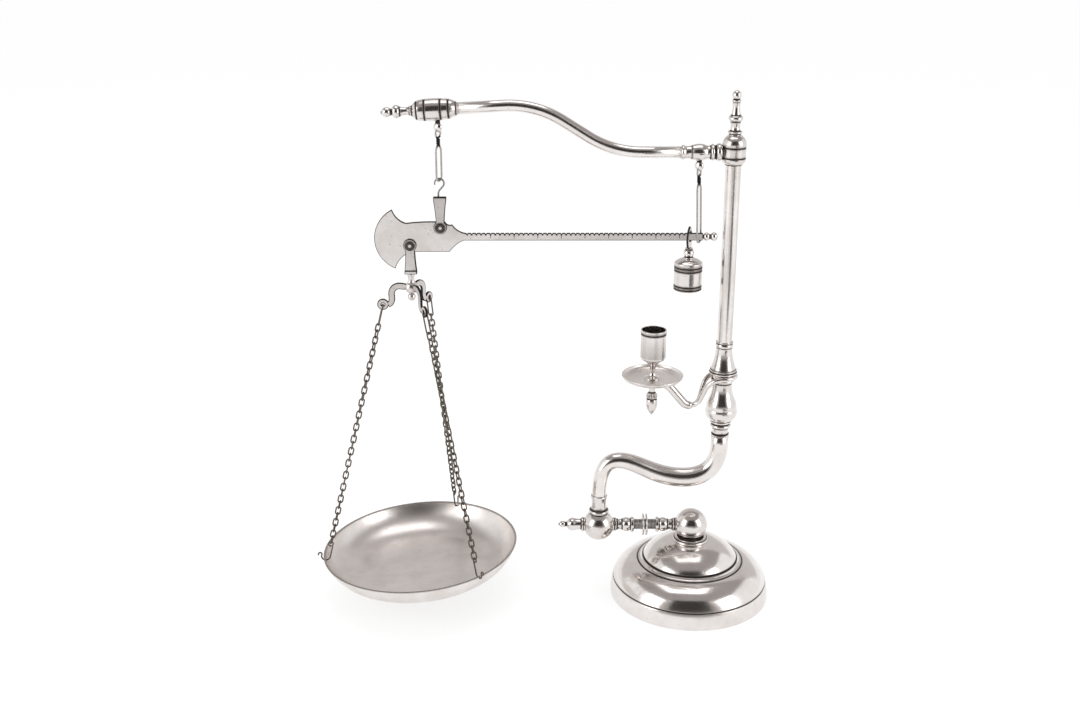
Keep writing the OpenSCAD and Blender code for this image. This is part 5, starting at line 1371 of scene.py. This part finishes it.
class BALANCE_OT_spider(bpy.types.Operator):
    """Make the hub, the three S shaped arms that meet at it, and the finial under it"""

    bl_idname = "balance.make_spider"
    bl_label = "Spider"

    def execute(self, context):
        hub_z = 317.0
        r = 6.0
        top = node_box("load_shackle")[0].z - 0.05 - hub_z
        outline = (
            round_points(r, -r, 4.6)[:-1] + [(3.6, 4.9)] + arc((3.4, 5.2), (3.7, top - 1.4), 0.7, 10)
            + [(3.7, top), (0, top)])
        turned_piece("hub_of_spider", outline, at(PAN_X, 0, hub_z), "plate_silver", ["spider_hub"])
        outline = [(0, -3.7)] + round_points(3.7, -3.7, 2.6)[1:] + [(0, 2.6)]
        place = at(PAN_X, 0, hub_z - r - 3)
        turned_piece("finial_of_spider", outline, place, "plate_silver", ["spider_finial"])
        way = ((4, 0.4, 3.2), (8, 1, 3.6), (12.2, 1.3, 3.6), (15.6, 0, 3.6), (17.8, -2.6, 3.6),
               (18.6, -5.8, 3.5), (18.5, -9.2, 3.5), (18.6, -12.4, 3.5), (19.8, -15.2, 3.4), (22.4, -17, 3))
        path = through([(x, z, half * 0.84) for x, z, half in way], 4)
        left, right = [], []
        for i, (x, z, half) in enumerate(path):
            a, b = path[max(i - 1, 0)], path[min(i + 1, len(path) - 1)]
            along = Vector((b[0] - a[0], b[1] - a[1])).normalized()
            left.append((x - along.y * half, z + along.x * half))
            right.append((x + along.y * half, z - along.x * half))
        scroll = (27, -16.4)
        outline = with_lobe(right + left[::-1], scroll, 5.3, 28)
        hole = sweep(scroll, 1.5, 0, 2 * pi, 20)[:-1]
        bm = bmesh.new()
        for angle in (180, -60, 60):
            cut_plate(bm, outline, 2.2, 0.55, hole, at(PAN_X, 0, hub_z) @ turned_by(angle, "Z"), 0.6)
        finish_piece("arms_of_spider", bm, "plate_silver", ["spider_arms"], flats=True)
        return {"FINISHED"}


class BALANCE_OT_pan(bpy.types.Operator):
    """Make the shallow pan with its rim bead"""

    bl_idname = "balance.make_pan"
    bl_label = "Pan"

    def execute(self, context):
        rim = PAN_R - 1.2
        outline = (
            [(0, -27), (63, -27)] + arc((63, -27), (rim + 0.6, -1.6), -6.4, 26)
            + arc((rim + 0.9, -1.6), (rim - 0.9, -1.6), -2.1, 14)
            + arc((rim - 0.6, -1.6), (62.5, -25.8), 6.2, 26) + [(0, -25.8)])
        bm = bmesh.new()
        turn_outline(bm, outline, at(PAN_X, 0, 53) @ turned_by(-3.5, "Y"), steps=160, ease=0.6)
        layer = shade_and_dirt_layer(bm)
        for vert in bm.verts:
            vert[layer] *= 0.4
        finish_piece("bowl_of_pan", bm, "pan_silver", ["pan"])
        return {"FINISHED"}


# Studio


CAMERA_PLACE = (-0.1488, -1.1612, 0.6651)
CAMERA_TILT = 70.135
LENS = 43.68
LIT_PLACE = (-0.1, 0, 0.25)


def add_card(name, size, place, material):
    bm = bmesh.new()
    bmesh.ops.create_grid(bm, x_segments=1, y_segments=1, size=1)
    bmesh.ops.scale(bm, vec=(size[0] / 2, size[1] / 2, 1), verts=bm.verts[:])
    bmesh.ops.transform(bm, matrix=place, verts=bm.verts[:])
    card = add_object(name, mesh_of(name, bm, material))
    card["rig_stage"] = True
    return card


def bare_material(name):
    """A material with nothing but its output: the material, its tree and the output."""
    material = bpy.data.materials.new(name)
    material.use_nodes = True
    material.node_tree.nodes.clear()
    return material, material.node_tree, material.node_tree.nodes.new("ShaderNodeOutputMaterial")


def add_mirror_card(name, size, place, colour):
    """A card that only polished surfaces see, as a photographer sets round silver."""
    material, tree, out = bare_material(name)
    glow = add_node(tree, "Emission", {"Color": shade(colour), "Strength": 1.0})
    set_inputs(tree, out, {"Surface": glow.outputs[0]})
    card = add_card(name, size, place, material)
    card.visible_camera = False
    card.visible_diffuse = False
    card.visible_transmission = False
    card.visible_shadow = False


def add_light(name, energy, size, place):
    light = bpy.data.lights.new(name, "AREA")
    light.energy = energy
    light.shape = "RECTANGLE"
    light.size, light.size_y = size
    holder = add_object(name, light)
    holder.location = place
    way = Vector(LIT_PLACE) - Vector(place)
    holder.rotation_euler = way.to_track_quat("-Z", "Y").to_euler()


def seen_directly(tree):
    """1 where the eye, a mirror or a glass meets the surface, and 0 where it only lights others."""
    paths = tree.nodes.new("ShaderNodeLightPath").outputs
    seen = calc(tree, "MAXIMUM", paths["Is Camera Ray"], paths["Is Glossy Ray"])
    return calc(tree, "MAXIMUM", seen, paths["Is Transmission Ray"])


class BALANCE_OT_studio(bpy.types.Operator):
    """Set the pale floor, the white room, the soft lights and the camera"""

    bl_idname = "balance.make_studio"
    bl_label = "Studio"

    def execute(self, context):
        scene = context.scene
        studio = scene.balance_studio
        ground, tree, out = bare_material("studio_floor")
        plain = add_node(tree, "BsdfDiffuse", {"Color": shade(studio.floor)})
        white = add_node(tree, "Emission", {"Color": (1, 1, 1, 1), "Strength": 1.07})
        share = calc(tree, "MULTIPLY", seen_directly(tree), 1 - studio.shadow)
        mixed = add_node(tree, "MixShader", {0: share, 1: plain.outputs[0], 2: white.outputs[0]})
        set_inputs(tree, out, {"Surface": mixed.outputs[0]})
        add_card("studio_floor", (60, 60), Matrix.Identity(4), ground)
        upright = turned_by(90, "X")
        add_mirror_card("dark_room", (2.3, 2.2), at(-0.1, -1.9, 1.45) @ upright, (0.05, 0.045, 0.042))
        add_mirror_card("front_wall", (9, 4.4), at(-0.15, -3.4, 1.5) @ upright, (0.42, 0.40, 0.39))
        add_mirror_card("back_wall", (9, 3.2), at(-0.15, 3.2, 2.5) @ upright, (0.66, 0.64, 0.635))
        add_mirror_card("ceiling", (9, 7), at(-0.15, 0, 4.1), (0.38, 0.36, 0.355))
        add_mirror_card("table_edge", (0.7, 1.6), at(0.45, -1.6, 0.004), (0.16, 0.15, 0.145))

        scene.world = bpy.data.worlds.new("studio_room")
        scene.world.use_nodes = True
        tree = scene.world.node_tree
        strength = calc(tree, "MULTIPLY_ADD", seen_directly(tree), 1 - studio.room, studio.room)
        set_inputs(tree, tree.nodes["Background"], {"Strength": strength, "Color": (1, 1, 1, 1)})

        add_light("left_light", studio.side_power, (1.1, 1.7), (-2.0, -1.1, 1.0))
        add_light("right_light", studio.side_power, (1.1, 1.7), (1.8, -1.2, 1.0))
        add_light("top_light", studio.top_power, (1.4, 1.0), (-0.1, 0.2, 2.2))

        lens = bpy.data.cameras.new("camera")
        lens.lens = LENS
        lens.sensor_width = 36
        scene.camera = add_object("camera", lens)
        scene.camera.location = CAMERA_PLACE
        scene.camera.rotation_euler = (radians(CAMERA_TILT), 0, 0)
        scene.view_settings.view_transform = "Standard"
        return {"FINISHED"}


class BALANCE_PT_panel(bpy.types.Panel):
    bl_idname = "BALANCE_PT_panel"
    bl_label = "Single Pan Balance"
    bl_space_type = "VIEW_3D"
    bl_region_type = "UI"
    bl_category = "Balance"

    def draw(self, context):
        layout = self.layout
        for operator in OPERATORS:
            layout.operator(operator.bl_idname)
        for label, group in (("Sizes", context.scene.balance_sizes), ("Finish", context.scene.balance_finish),
                             ("Studio", context.scene.balance_studio)):
            box = layout.box()
            box.label(text=label)
            for key in group.bl_rna.properties.keys():
                if key not in ("rna_type", "name"):
                    box.prop(group, key)


OPERATORS = (
    BALANCE_OT_finishes, BALANCE_OT_base, BALANCE_OT_coupling, BALANCE_OT_tube, BALANCE_OT_column,
    BALANCE_OT_candle, BALANCE_OT_arm, BALANCE_OT_beam, BALANCE_OT_shackles, BALANCE_OT_links,
    BALANCE_OT_poise, BALANCE_OT_spider, BALANCE_OT_pan, BALANCE_OT_studio)
CLASSES = (BalanceSizes, BalanceFinish, BalanceStudio) + OPERATORS + (BALANCE_PT_panel,)


def register():
    for kind in CLASSES:
        bpy.utils.register_class(kind)
    bpy.types.Scene.balance_sizes = PointerProperty(type=BalanceSizes)
    bpy.types.Scene.balance_finish = PointerProperty(type=BalanceFinish)
    bpy.types.Scene.balance_studio = PointerProperty(type=BalanceStudio)


def unregister():
    del bpy.types.Scene.balance_studio
    del bpy.types.Scene.balance_finish
    del bpy.types.Scene.balance_sizes
    for kind in reversed(CLASSES):
        bpy.utils.unregister_class(kind)


def main():
    register()
    bpy.ops.balance.make_finishes()
    bpy.ops.balance.make_base()
    bpy.ops.balance.make_coupling()
    bpy.ops.balance.make_tube()
    bpy.ops.balance.make_column()
    bpy.ops.balance.make_candle()
    bpy.ops.balance.make_arm()
    bpy.ops.balance.make_beam()
    bpy.ops.balance.make_shackles()
    bpy.ops.balance.make_links()
    bpy.ops.balance.make_poise()
    bpy.ops.balance.make_spider()
    bpy.ops.balance.make_pan()
    bpy.ops.balance.make_studio()
    boxes = {"cad": CAD_BOX, "visual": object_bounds()}
    boxes = {name: [[float(c) for c in corner] for corner in pair] for name, pair in boxes.items()}


if __name__ == "__main__":
    main()
